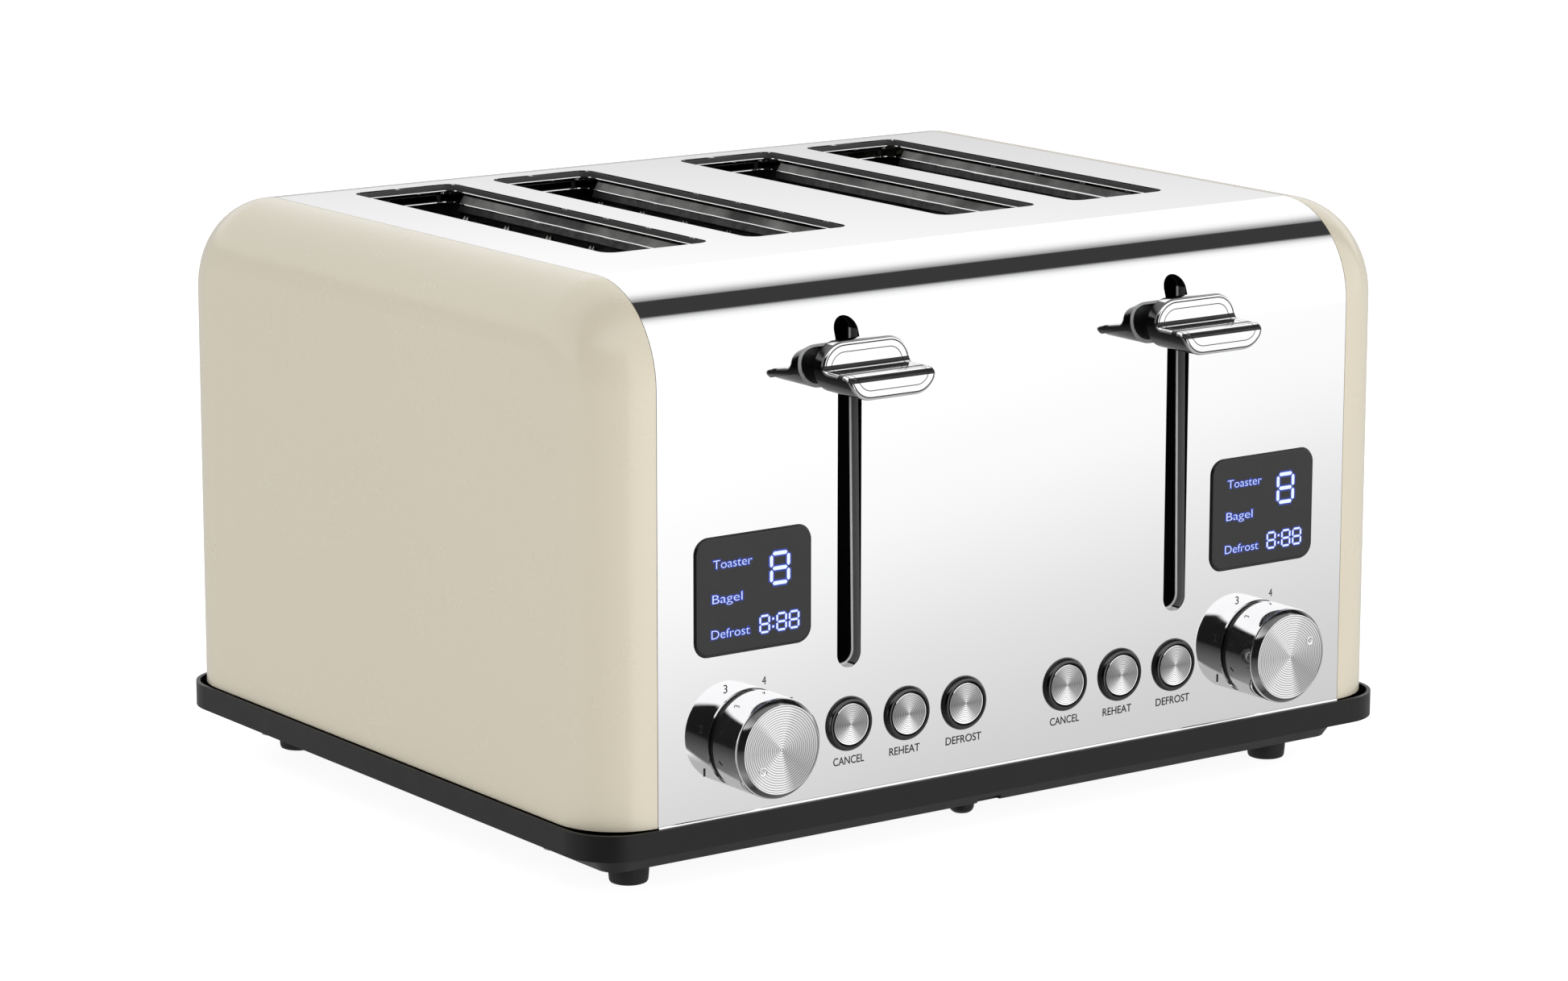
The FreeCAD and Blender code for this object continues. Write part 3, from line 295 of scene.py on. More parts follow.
GALVANISED = surface("galvanised_steel", (0.085, 0.085, 0.083), 0.36, 1.0, tone=(46, 0.75),
                     grain=(1500, 0.45, 0.00006), wear=0.35)
# Painted highlight: a flat near-white laid on chrome lips and edges where they catch the light.
LIP_HIGHLIGHT = surface("lip_painted_highlight", (0.82, 0.82, 0.82), 0.3, tone=(60, 0.03),
                     grain=(900, 0.05, 0.00003), wear=0.1)
FOLD_DARK = surface("fold_reflection", (0.018, 0.018, 0.018), 0.2, tone=(90, 0.2),
                    grain=(500, 0.03, 0.00003), wear=0.1, specular=0.3)
# Painted shade: a flat dark grey for the chrome flange turned down inside each bread slot.
FLANGE_SHADE = surface("flange_painted_shade", (0.075, 0.075, 0.074), 0.5, tone=(60, 0.05),
                 grain=(900, 0.05, 0.00003), wear=0.1, specular=0.3)
# Painted reflection: a flat grey laid on chrome where it shows a dim reflection, on the lever
# slots' lips and the lever knobs.
LIP_GREY_REFLECTION = surface("lip_painted_grey_reflection", (0.15, 0.15, 0.15), 0.4, tone=(60, 0.05),
                   grain=(900, 0.05, 0.00003), wear=0.1, specular=0.4)
INNER_STEEL = surface("inner_steel", (0.045, 0.045, 0.045), 0.5, 1.0, tone=(80, 0.2),
                      grain=(400, 0.2, 0.0001), wear=0.3)
WIRE = surface("guide_wire_steel", (0.42, 0.42, 0.41), 0.22, 1.0, tone=(300, 0.15),
               grain=(700, 0.1, 0.00004), wear=0.3)
COIL = surface("magnet_coil", (0.12, 0.05, 0.03), 0.5, tone=(150, 0.15),
               grain=(500, 0.3, 0.0001), wear=0.2)
MICA = surface("mica_board", (0.05, 0.044, 0.036), 0.5, tone=(70, 0.25),
               grain=(160, 0.2, 0.0001), wear=0.2)
RIBBON = surface("heater_alloy", (0.09, 0.08, 0.075), 0.45, 1.0, tone=(200, 0.2),
                 grain=(600, 0.15, 0.00005), wear=0.2)
SCREW = surface("screw_steel", (0.5, 0.5, 0.5), 0.3, 1.0, tone=(300, 0.1),
                grain=(900, 0.1, 0.00003), wear=0.3)
PRINT = surface("printed_grey", (0.018, 0.018, 0.019), 0.5, tone=(900, 0.1),
                grain=(2500, 0.1, 0.00001), wear=0.1, specular=0.3)
HALOS = (
    (0.7, glow("halo_wide", (0.024, 0.028, 0.085), 1.0)),
    (0.47, glow("halo_middle", (0.014, 0.03, 0.27), 1.0)),
    (0.25, glow("halo_near", (0.035, 0.09, 0.62), 1.0)),
    (0.0, glow("halo_core", (0.8, 0.89, 1.0), 1.1)),
)
CAD_FINISHES = {
    "outer_wrap": CHROME, "side_panel": CREAM, "base_tray": BLACK, "base_screws": SCREW,
    "button_switches": SWITCH, "dial_switches": SWITCH, "display_modules": MODULE,
    "front_chassis_plate": INNER_STEEL, "rear_chassis_plate": INNER_STEEL,
    "mechanism_shelf": INNER_STEEL, "rod_strap": INNER_STEEL, "guide_rods": INNER_STEEL,
    "hold_magnets": COIL, "heater_ribbons": RIBBON, "control_board": BOARD,
    "heater_boards": MICA, "lever_arm": INNER_STEEL, "carriage": INNER_STEEL,
    "armature": INNER_STEEL, "return_spring": WIRE, "crumb_tray": GALVANISED,
    "bread_lifter": INNER_STEEL, "cord_gland": GLAND, "rubber_feet": RUBBER,
}


def finish_cad_nodes():
    """Gives every CAD node that stays in sight its finish."""
    for name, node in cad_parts.items():
        for ending, material in CAD_FINISHES.items():
            if name.endswith(ending):
                node.data.materials.clear()
                node.data.materials.append(material)


# Mesh helpers --------------------------------------------------------------------------------
class Shape:
    """Vertices and faces of one piece while it is built. finishes holds a number per face."""

    def __init__(self):
        self.points = []
        self.faces = []
        self.finishes = []

    def face(self, corners, finish=0):
        self.faces.append(tuple(corners))
        self.finishes.append(finish)

    def ring(self, points):
        start = len(self.points)
        self.points.extend(points)
        return list(range(start, len(self.points)))

    def skin(self, rings, closed=True, finish=0):
        """Quads between neighbouring rings of equal length; closed joins each ring's ends."""
        rows = [self.ring(ring) for ring in rings]
        for first, second in zip(rows, rows[1:]):
            count = len(first)
            for index in range(count if closed else count - 1):
                after = (index + 1) % count
                corners = (first[index], first[after], second[after], second[index])
                self.face(corners, finish)
        return rows

    def box(self, low, high, finish=0):
        corners = [(x, y, z) for x in (low[0], high[0]) for y in (low[1], high[1])
                   for z in (low[2], high[2])]
        at = self.ring([spot(*corner) for corner in corners])
        for side in ((0, 1, 3, 2), (4, 6, 7, 5), (0, 4, 5, 1), (2, 3, 7, 6), (0, 2, 6, 4),
                     (1, 5, 7, 3)):
            self.face([at[index] for index in side], finish)


def mark_creases(mesh, angle):
    """Smooth faces with sharp edges above the angle."""
    mesh.normal_update()
    for face in mesh.faces:
        face.smooth = True
    for edge in mesh.edges:
        if len(edge.link_faces) == 2:
            edge.smooth = edge.calc_face_angle(0) < angle


def build(name, shape, materials, body, stands_for=(), crease=32.0, origin=None):
    """Makes a piece of the shape and hangs it on its CAD body."""
    mesh = bpy.data.meshes.new(name)
    work = bmesh.new()
    for point in shape.points:
        work.verts.new(point)
    work.verts.ensure_lookup_table()
    for corners, finish in zip(shape.faces, shape.finishes):
        work.faces.new([work.verts[index] for index in corners]).material_index = finish
    bmesh.ops.remove_doubles(work, verts=work.verts, dist=1e-7)
    bmesh.ops.recalc_face_normals(work, faces=work.faces)
    mark_creases(work, math.radians(crease))
    work.to_mesh(mesh)
    work.free()
    for material in materials:
        mesh.materials.append(material)
    piece = bpy.data.objects.new(name, mesh)
    collection.objects.link(piece)
    if origin is not None:
        mesh.transform(Matrix.Translation(-origin))
        piece.location = origin
    return hang(piece, body, stands_for)


def hang(piece, body, stands_for=()):
    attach(piece, body)
    if stands_for:
        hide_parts(*stands_for)
    return piece


def arc(centre, radius, start, end, steps):
    """Points of an arc in a plane, angles in degrees, both ends included."""
    points = []
    for step in range(steps + 1):
        angle = math.radians(start + (end - start) * step / steps)
        points.append((centre[0] + radius * math.cos(angle), centre[1] + radius * math.sin(angle)))
    return points


def rounded(half_u, half_v, radius, steps=8):
    """A rounded rectangle about the origin, counter-clockwise."""
    points = []
    for sign_u, sign_v, start in ((1, 1, 0), (-1, 1, 90), (-1, -1, 180), (1, -1, 270)):
        centre = (sign_u * (half_u - radius), sign_v * (half_v - radius))
        points += arc(centre, radius, start, start + 90, steps)
    return points


def lathe(shape, x, z, profile, segments=96, finish=0):
    """Turns a profile of (radius, depth) about an axis along the depth."""
    rings = []
    for radius, depth in profile:
        ring = []
        for index in range(segments):
            angle = 2 * math.pi * index / segments
            ring.append(spot(x + radius * math.cos(angle), depth, z + radius * math.sin(angle)))
        rings.append(ring)
    shape.skin(rings, finish=finish)


def tube(shape, path, radius, sides=10, finish=0):
    """A wire of one radius along a path of (x, depth, z) points, with closed ends."""
    points = [spot(*point) for point in path]
    rings = []
    across = None
    for index, point in enumerate(points):
        before = points[max(index - 1, 0)]
        after = points[min(index + 1, len(points) - 1)]
        along = (after - before).normalized()
        if across is None:
            across = along.orthogonal().normalized()
        across = (across - along * across.dot(along)).normalized()
        other = along.cross(across)
        ring = []
        for side in range(sides):
            angle = 2 * math.pi * side / sides
            ring.append(point + (across * math.cos(angle) + other * math.sin(angle)) * radius * MM)
        rings.append(ring)
    rows = shape.skin(rings, finish=finish)
    shape.face(rows[0], finish)
    shape.face(rows[-1], finish)


# Wrap and slots ------------------------------------------------------------------------------
def make_wrap_hems():
    """The rolled hem along the lower edge of the wrap, front and back."""
    xs, depths, zs = box_mm("outer_wrap")
    shape = Shape()
    for edge, outward in ((depths[0], -1), (depths[1], 1)):
        section = [(0.0, 1.5), (-0.12, 1.4), (-0.3, 1.15), (-0.36, 0.75), (-0.3, 0.3),
                   (-0.1, 0.05), (0.5, 0.0), (0.5, 1.5)]
        rings = []
        for x in (xs[0] + 0.05, xs[1] - 0.05):
            rings.append([spot(x, edge - outward * push, zs[0] + up) for push, up in section])
        ends = shape.skin(rings)
        shape.face(ends[0])
        shape.face(ends[1])
    build("wrap_hems", shape, [CHROME_PART], "root")


def slot_ring(x, depth, half_x, half_y, radius, grow, z):
    outline = rounded(half_x + grow, half_y + grow, radius + grow)
    return [spot(x + u, depth + v, z) for u, v in outline]


def make_slot_throat(x, top):
    """The beads and sheet metal seen just below one bread slot's turned-down edge."""
    collar = box_mm("slot_collars")[1]
    half_x, half_y = SLOT_HALF_WIDTH, (collar[1] - collar[0]) / 2 - 1.05
    radius = SLOT_CORNER
    depth = middle(collar)
    shape = Shape()

    def bead(z, reach, thick):
        section = [(0.15, -thick), (-reach, -thick * 0.6), (-reach * 1.15, 0.0),
                   (-reach, thick * 0.6), (0.15, thick)]
        rings = [slot_ring(x, depth, half_x, half_y, radius, grow, z + up) for grow, up in section]
        shape.skin(rings + [rings[0]], finish=0)

    # The turned-down flange, painted dark grey as shade inside the slot.
    lining = ((-0.02, -0.35), (-0.08, -0.5), (-0.08, -1.9), (0.1, -2.1))
    shape.skin([slot_ring(x, depth, half_x, half_y, radius, grow, top + drop)
                for grow, drop in lining], finish=3)
    bead(top - 2.25, 0.45, 0.33)
    bead(top - 6.0, 0.5, 0.36)
    rear, side = depth + half_y, half_x - radius
    for low, high in ((-2.6, -3.5), (-5.55, -5.8)):
        shape.box((x - side, rear, top + high), (x + side, rear + 0.6, top + low), 1)
    for start, end in ((-side, -side + 2.2), (-side + 8.5, -side + 10.3), (side - 1.6, side)):
        shape.box((x + start, rear, top - 5.7), (x + end, rear + 0.6, top - 3.3), 1)
    for start, end in ((-side, -side + 2.2), (side - 1.6, side)):
        shape.box((x + start, depth - half_y - 0.6, top - 5.7),
                  (x + end, depth - half_y, top - 3.3), 1)
    make_baffles(shape, x, depth, half_x, half_y, top)
    make_fillets(shape, x, depth, half_x, half_y, radius, top)
    return shape


def make_baffles(shape, x, depth, half_x, half_y, top):
    """The leaning sheets along both long sides, each with a ridge and a ledge under it."""
    front, rear = depth - half_y + 3.0, depth + half_y - 7.0
    lean = [(0.3, -3.2), (-0.2, -3.3), (-1.7, -5.7)]
    ridge = [(-1.7, -5.7), (-1.95, -5.85), (-2.0, -6.1), (-1.8, -6.25)]
    ledge = [(-1.8, -6.25), (-2.6, -8.2), (-2.5, -8.6), (-1.6, -8.7), (-1.5, -11.2), (-1.2, -11.2),
             (-1.3, -8.4), (-2.2, -8.2), (-1.4, -6.2), (0.3, -3.4)]
    steps = 24
    for hand in (-1, 1):
        wall = x + hand * (half_x + 0.2)
        for section, finish in ((lean, 1), (ridge, 0), (ledge, 2)):
            rings = []
            for step in range(steps + 1):
                along = front + (rear - front) * step / steps
                slack = 0.12 * math.sin(step * 1.7 + x)
                rings.append([spot(wall + hand * (push + slack * (push < -1)), along, top + drop)
                              for push, drop in section])
            shape.skin(rings, closed=False, finish=finish)
        for index in range(4):
            along = front + 14 + index * (rear - front - 30) / 3
            shape.box((wall - hand * 1.7, along, top - 10.6),
                      (wall - hand * 4.2, along + 6, top - 10.2), 1)


def make_fillets(shape, x, depth, half_x, half_y, radius, top):
    """The short folded strips in the rounded rear corners."""
    for hand in (-1, 1):
        centre = (x + hand * (half_x - radius), depth + half_y - radius)
        sweep = (18, 72) if hand > 0 else (162, 108)
        outer = arc(centre, radius + 0.05, *sweep, 9)
        for first, second in zip(outer[::2], outer[1::2]):
            low = [spot(first[0], first[1], top - 3.6), spot(second[0], second[1], top - 3.6)]
            high = [spot(first[0], first[1], top - 2.5), spot(second[0], second[1], top - 2.5)]
            push = Vector((hand * 0.4 * MM, 0.4 * MM, 0))
            rows = shape.skin([low + [low[1] + push, low[0] + push],
                               high + [high[1] + push, high[0] + push]], finish=1)
            shape.face(rows[0], 1)
            shape.face(rows[1], 1)


def make_slot_throats():
    top = box_mm("outer_wrap")[2][1]
    for index, name in enumerate(BREAD_SLOTS):
        x = middle(box_mm(f"{name}_bread_lifter")[0])
        shape = make_slot_throat(x, top)
        stands_for = ("slot_collars",) if index == 0 else ()
        build(f"{name}_slot_throat", shape, [CHROME_PART, GALVANISED, INNER_STEEL, FLANGE_SHADE],
              "root", stands_for)


def make_bread_guide(name, hand):
    """A wire grid with paired uprights whose upper ends hook outwards."""
    node = f"{name}_guide_{hand}"
    xs, depths, zs = box_mm(node)
    x = middle(xs)
    outward = -1 if hand == "left" else 1
    shape = Shape()
    tube(shape, [(x, depths[0], zs[0] + 0.9), (x, depths[1], zs[0] + 0.9)], 0.9)
    first, last = depths[0] + 24, depths[1] - 20
    for z in (zs[0] + 60, zs[1] - 9):
        tube(shape, [(x + outward * 0.5, first - 4, z), (x + outward * 0.5, last + 4, z)], 0.6)
    bend = HOOK_TOP - HOOK_ROUND
    for index in range(GUIDE_UPRIGHTS):
        depth = first + index * (last - first) / (GUIDE_UPRIGHTS - 1)
        for shift in (-0.9, 0.9):
            path = [(x, depth + shift, zs[0] + 1.2), (x, depth + shift, bend)]
            for turn in range(1, 7):
                angle = math.radians(turn * 15)
                reach = outward * HOOK_ROUND * (1 - math.cos(angle))
                path.append((x + reach, depth + shift, bend + HOOK_ROUND * math.sin(angle)))
            path.append((x + outward * 4.4, depth + shift, HOOK_TOP - 0.2))
            tube(shape, path, 0.45, sides=8)
    build(f"{node}_wires", shape, [WIRE], f"{node}_body", (node,))


def skin_depth(z):
    """How far back the wrap's front skin lies at a height, where it bends into the top."""
    rise = max(z - (WRAP_TOP - WRAP_BEND), 0)
    return WRAP_BEND - math.sqrt(max(WRAP_BEND ** 2 - rise ** 2, 0))


def slot_reflection_band(x, z):
    """The painted reflection on the slot's wall at one point, by height and angle: 1 grey, 2
    black, 3 bright highlight.
    """
    if z > LEVER_SLOT_HIGH - LEVER_SLOT_END:
        return 2
    if z > LEVER_SLOT_LOW + LEVER_SLOT_END:
        return 1
    turn = math.degrees(math.atan2(z - LEVER_SLOT_LOW - LEVER_SLOT_END, x))
    if turn > -52:
        return 1
    return 2 if turn > -62 or -118 < turn < -104 else 3


def lever_slot_ring(x, grow, depth, follows_skin):
    """The slot's outline grown by a margin, at a depth or that far behind the wrap's skin."""
    centre_z = (LEVER_SLOT_LOW + LEVER_SLOT_HIGH) / 2
    half_z = (LEVER_SLOT_HIGH - LEVER_SLOT_LOW) / 2
    ring = []
    for u, v in rounded(LEVER_SLOT_HALF + grow, half_z + grow, LEVER_SLOT_HALF - 0.01 + grow, 10):
        z = centre_z + v
        ring.append(spot(x + u, depth + (skin_depth(z) if follows_skin else 0), z))
    return ring


def make_lever_liner(side, x):
    """The black channel behind a lever slot, ribbed at its upper end."""
    liner = Shape()
    section = ((1.6, 4.6, True), (1.6, LINER_BACK, False), (2.2, LINER_BACK, False),
               (2.2, 4.6, True))
    rings = [lever_slot_ring(x, *station) for station in section]
    liner.skin(rings + [rings[0]])
    end = LEVER_SLOT_HIGH - LEVER_SLOT_END
    for index in range(9):
        angle = math.radians(18 + index * 18)
        near = (x + 3.1 * math.cos(angle), 10.5, end + 3.1 * math.sin(angle))
        far = (x + 6.0 * math.cos(angle), 9.5, end + 6.0 * math.sin(angle))
        tube(liner, [near, far], 0.35, sides=6)
    build(f"{side}_lever_slot_liner", liner, [RING_BLACK_AND_PAINTED_DARK], "root")


def make_lever_lip(side, x):
    """The slot's turned-in lip: a wall and a bead along its inner edge, coloured in painted
    reflection bands of grey, black and bright highlight by height and angle, the bead bright below
    its top end.
    """
    lip = Shape()
    wall = [(0.0, 0.3), (-0.05, 0.4), (-0.05, 3.4), (-0.2, 3.6)]
    bead = [(-0.2, 3.6), (-0.42, 3.8), (-0.5, 4.2), (-0.1, 4.5), (0.9, 4.5)]
    for section, bright in ((wall, False), (bead, True)):
        start = len(lip.faces)
        lip.skin([lever_slot_ring(x, grow, depth, True) for grow, depth in section])
        for index in range(start, len(lip.faces)):
            corners = [lip.points[corner] for corner in lip.faces[index]]
            place = sum(corners, Vector()) / len(corners) / MM
            # Painted reflection bands by height and angle, with a painted highlight along the bead
            # below its top end.
            finish = slot_reflection_band(place.x - x, place.z)
            lip.finishes[index] = 3 if bright and place.z < LEVER_SLOT_HIGH - 6 else finish
    build(f"{side}_lever_slot_lip", lip, [CHROME_PART, LIP_GREY_REFLECTION, RING_BLACK_AND_PAINTED_DARK, LIP_HIGHLIGHT],
          "root")


def make_lever_slots():
    for side, _ in SIDES:
        x = middle(box_mm(f"{side}_lever_arm")[0])
        make_lever_liner(side, x)
        make_lever_lip(side, x)


# Levers --------------------------------------------------------------------------------------
def lever_ring(box, inset, sunk, steps=9):
    """One closed ring of the knob's S-shaped front, moved in from its outline and sunk into it.

    Returns the left half from top to bottom; the right half is its mirror.
    """
    xs, depths, zs = box
    centre_z, radius = middle(zs), (zs[1] - zs[0]) / 2
    straight = (xs[1] - xs[0]) / 2 - radius
    plate, reach = sunk - LEVER_PLATE, depths[0] + sunk
    shelf_z = LEVER_SHELF - sunk
    fold, brow = LEVER_FOLD + sunk, LEVER_BROW - sunk
    top, bottom = zs[1] - inset, zs[0] + inset
    line = []
    for step in range(steps):
        share = 1 - math.cos(math.pi / 2 * step / steps)
        line.append((plate, top - (top - shelf_z - fold) * share))
    for depth, z in arc((plate - fold, shelf_z + fold), fold, 0, -90, 7):
        line.append((depth, z))
    for share in (0.3, 0.6, 0.88):
        run = (plate - fold) - (reach + brow)
        line.append((plate - fold - run * share, shelf_z))
    for depth, z in arc((reach + brow, shelf_z - brow), brow, 90, 180, 7):
        line.append((depth, z))
    for step in range(1, steps + 1):
        share = math.sin(math.pi / 2 * step / steps)
        line.append((reach, shelf_z - brow - (shelf_z - brow - bottom) * share))
    half = []
    for depth, z in line:
        round_part = max((radius - inset) ** 2 - (z - centre_z) ** 2, 0)
        half.append((straight + math.sqrt(round_part), depth, z))
    return half


def make_lever_knob(side):
    """A pill with an upright face, a shelf and a thumb lip, a polished edge and a fine groove, its
    chrome laid with painted reflection bands and painted shade on its lower sides.
    """
    node = f"{side}_lever_knob"
    box = box_mm(node)
    x = middle(box[0])
    edge = KNOB_EDGE
    rings = [lever_ring(box, 0, edge)]
    for turn in range(1, 7):
        angle = math.radians(turn * 15)
        inset, sunk = edge * (1 - math.cos(angle)), edge * (1 - math.sin(angle))
        rings.append(lever_ring(box, inset, sunk))
    for inset, sunk in ((1.2, 0.0), (2.9, 0.0), (3.0, 0.1), (3.1, 0.1), (3.2, 0.0), (3.3, 0.0)):
        rings.append(lever_ring(box, inset, sunk))
    shape = Shape()

    def whole(half):
        left = [spot(x - wide, depth, z) for wide, depth, z in half]
        right = [spot(x + wide, depth, z) for wide, depth, z in reversed(half)]
        return left + right

    back = [(wide, box[1][1], z) for wide, depth, z in rings[0]]
    shape.skin([whole(back), whole(rings[0])])
    recess = []
    for inset, depth in ((0.0, box[1][1]), (1.2, box[1][1]), (1.4, box[1][1] - 0.5)):
        ring = lever_ring(box, inset, edge)
        recess.append(whole([(wide, depth, z) for wide, _, z in ring]))
    # Painted highlight: a bright ring round the edge of the knob's back.
    shape.skin(recess[:2], finish=3)
    rows = shape.skin(recess[1:], finish=1)
    shape.face(rows[1], 1)
    sides = len(shape.faces)
    # Painted reflection: grey on the outer turn of the edge, dark where the edge meets the face,
    # and grey in the groove.
    shape.skin([whole(ring) for ring in rings[:3]], finish=4)
    shape.skin([whole(ring) for ring in rings[2:6]])
    shape.skin([whole(ring) for ring in rings[5:8]], finish=2)
    shape.skin([whole(ring) for ring in rings[7:9]])
    shape.skin([whole(ring) for ring in rings[8:12]], finish=4)
    shape.skin([whole(ring) for ring in rings[11:]])
    inner = rings[-1]
    columns = 10
    crossing = []
    for wide, depth, z in inner:
        crossing.append([spot(x + wide * (2 * step / columns - 1), depth, z)
                         for step in range(columns + 1)])
    shape.skin(crossing, closed=False)
    # Painted reflection: dark bands at the fold above the shelf, across the shelf and at the brow;
    # painted shade: dark chrome on the sides below 163.9 mm.
    for index, corners in enumerate(shape.faces):
        place = sum((shape.points[corner] for corner in corners), Vector()) / len(corners) / MM
        depth, z = place.y - FACE / MM, place.z
        upper = depth > -10.6 and 156.95 < z < 158.25
        lower = -17.9 < depth < -15.9 and z > 155.4
        brow = depth < -20.6 and 154.9 < z < 156.3
        if index >= sides and (upper or lower or brow):
            shape.finishes[index] = 2
        elif index < sides and not shape.finishes[index] and z < 163.9:
            shape.finishes[index] = 5
    build(f"{side}_lever_pill", shape,
          [CHROME_PART, RING_BLACK_AND_PAINTED_DARK, FOLD_DARK, LIP_HIGHLIGHT, LIP_GREY_REFLECTION, DARK_CHROME_AND_PAINTED_SHADE],
          f"{side}_carriage_body", (node,), crease=40)


def make_return_spring(side):
    """A fixed coil on the base, standing for the spring that flattens as its lever goes down."""
    node = f"{side}_return_spring"
    depth = middle(box_mm("guide_rods")[1])
    x = middle(box_mm(f"{side}_lever_arm")[0])
    low, high = box_mm(node)[2]
    wire, radius, pitch = 0.4, 4.3, 8.0
    run = high - low - 2 * wire
    steps = int(run / pitch * 16)
    path = []
    for step in range(steps + 1):
        turn = 2 * math.pi * step / 16
        path.append((x + radius * math.cos(turn), depth + radius * math.sin(turn),
                     low + wire + run * step / steps))
    shape = Shape()
    tube(shape, path, wire, sides=6)
    coil = build(f"{side}_return_coil", shape, [WIRE], "root", (node,))
    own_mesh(coil)


# Dials and buttons ---------------------------------------------------------------------------
def make_dial(side):
    """A browning dial: polished side, spun face and bevel with painted reflection wedges, and a
    dimple at its setting.
    """
    node = f"{side}_browning_dial"
    xs, depths, zs = box_mm(node)
    x, z, radius = middle(xs), middle(zs), (xs[1] - xs[0]) / 2
    front = depths[0]
    shape = Shape()
    lathe(shape, x, z, [(3.0, 8.0), (3.0, -1.1), (radius - 0.9, -1.2), (radius - 0.3, -1.25),
                        (radius, -1.6), (radius, front + 2.5), (radius - 0.1, front + 2.1),
                        (radius - 0.35, front + 1.7)], 128, finish=1)
    lathe(shape, x, z, [(radius - 0.35, front + 1.7), (radius - 1.65, front + 0.12),
                        (radius - 1.75, front + 0.06)], 128, finish=2)
    lathe(shape, x, z, [(radius - 1.75, front + 0.06), (radius - 1.95, front)], 128, finish=1)
    lathe(shape, x, z, [(radius - 1.95, front), (radius - 2.15, front + 0.12),
                        (0.01, front + 0.12)], 128, finish=0)
    mark_angle = math.radians(221.0 if side == "left" else 27.0)
    mark = (x + 9.0 * math.cos(mark_angle), z + 9.0 * math.sin(mark_angle))
    dimple = Shape()
    lathe(dimple, *mark, [(1.45, front + 0.2), (1.42, front - 0.02), (1.22, front - 0.05),
                          (1.02, front + 0.08), (0.6, front + 0.14), (0.01, front + 0.16)], 48)
    body = f"{side}_dial_body"
    build(f"{side}_dial_knob", shape, [DIAL_FACE, POLISHED, BEVEL], body, (node,),
          crease=28, origin=spot(x, front + 4, z))
    build(f"{side}_dial_dimple", dimple, [POLISHED], body)
    collar = Shape()
    lathe(collar, x, z, [(4.2, 0.1), (4.2, -0.95), (radius - 1.0, -0.95), (radius - 0.7, -0.7),
                         (radius - 0.7, 0.1)], 96)
    build(f"{side}_dial_collar", collar, [RING_BLACK_AND_PAINTED_DARK], "root")


def make_button(side, name):
    """A spun button cap with a thin bright edge, on its plunger; the cap's face has painted
    reflection wedges and a painted glint.
    """
    node = f"{side}_{name}_button"
    xs, depths, zs = box_mm(node)
    x, z, radius, front = middle(xs), middle(zs), (xs[1] - xs[0]) / 2, depths[0]
    shape = Shape()
    lathe(shape, x, z, [(2.4, depths[1]), (2.4, 5.0), (radius, 5.0), (radius, front + 0.3),
                        (radius - 0.06, front + 0.12), (radius - 0.2, front),
                        (radius - 0.34, front + 0.06)], 96, finish=1)
    lathe(shape, x, z, [(radius - 0.34, front + 0.06), (radius - 0.4, front + 0.08),
                        (0.01, front + 0.08)], 96, finish=0)
    build(f"{side}_{name}_cap", shape, [CAP_FACE, POLISHED], f"{side}_{name}_body",
          (node,), crease=28, origin=spot(x, front + 3, z))


def make_bezels():
    """Dark chrome rings round the buttons, each on a black foot."""
    shape = Shape()
    for side, _ in SIDES:
        for name in BUTTONS:
            xs, _, zs = box_mm(f"{side}_{name}_button")
            x, z = middle(xs), middle(zs)
            lathe(shape, x, z, [(7.2, 6.0), (7.2, 0.2), (8.45, 0.05), (8.5, -0.35), (8.35, -0.7),
                                (8.12, -1.0)], 96, finish=1)
            lathe(shape, x, z, [(8.12, -1.0), (7.95, -1.3), (7.6, -1.58), (7.3, -1.7)], 96)
            lathe(shape, x, z, [(7.3, -1.7), (7.05, -1.62), (6.9, -1.4), (6.88, -0.6),
                                (6.88, 6.0)], 96, finish=1)
    build("button_rings", shape, [DARK_CHROME_AND_PAINTED_SHADE, RING_BLACK_AND_PAINTED_DARK], "root",
          ("button_bezels",), crease=50)


# Displays and lettering ----------------------------------------------------------------------
def text(name, words, x, depth, z, cap, width, material, body, grow=0.0):
    """Flat lettering centred on a point; cap is its capitals' height, width its full width."""
    curve = bpy.data.curves.new(name, "FONT")
    curve.body = words
    curve.align_x = "CENTER"
    curve.align_y = "CENTER"
    curve.size = cap * MM / 0.7
    curve.resolution_u = 5
    curve.materials.append(material)
    piece = bpy.data.objects.new(name, curve)
    collection.objects.link(piece)
    bpy.context.view_layer.update()
    piece.scale.x = width * MM / piece.dimensions.x
    curve.offset = grow * MM
    piece.rotation_euler = (math.pi / 2, 0, 0)
    piece.location = spot(x, depth, z)
    return hang(piece, body)


SEGMENTS = {
    "a": ((0, 1), (1, 1)), "b": ((1, 1), (1, 0.5)), "c": ((1, 0.5), (1, 0)),
    "d": ((0, 0), (1, 0)), "e": ((0, 0.5), (0, 0)), "f": ((0, 1), (0, 0.5)),
    "g": ((0, 0.5), (1, 0.5)),
}


def add_digit(shape, x, z, wide, high, thick, grow, depth):
    """A seven-segment eight about (x, z), each bar grown by the layer's halo."""
    half = thick / 2 + grow
    inner_wide, inner_high = wide - thick, high - thick
    for start, end in SEGMENTS.values():
        first = Vector((x + (start[0] - 0.5) * inner_wide, z + (start[1] - 0.5) * inner_high))
        last = Vector((x + (end[0] - 0.5) * inner_wide, z + (end[1] - 0.5) * inner_high))
        along = (last - first).normalized()
        across = Vector((-along.y, along.x))
        first += along * (thick * 0.34 - grow * 0.6)
        last -= along * (thick * 0.34 - grow * 0.6)
        tip = min(half, thick / 2) * 0.9
        outline = [first, first + along * tip + across * half, last - along * tip + across * half,
                   last, last - along * tip - across * half, first + along * tip - across * half]
        shape.face(shape.ring([spot(point.x, depth, point.y) for point in outline]))


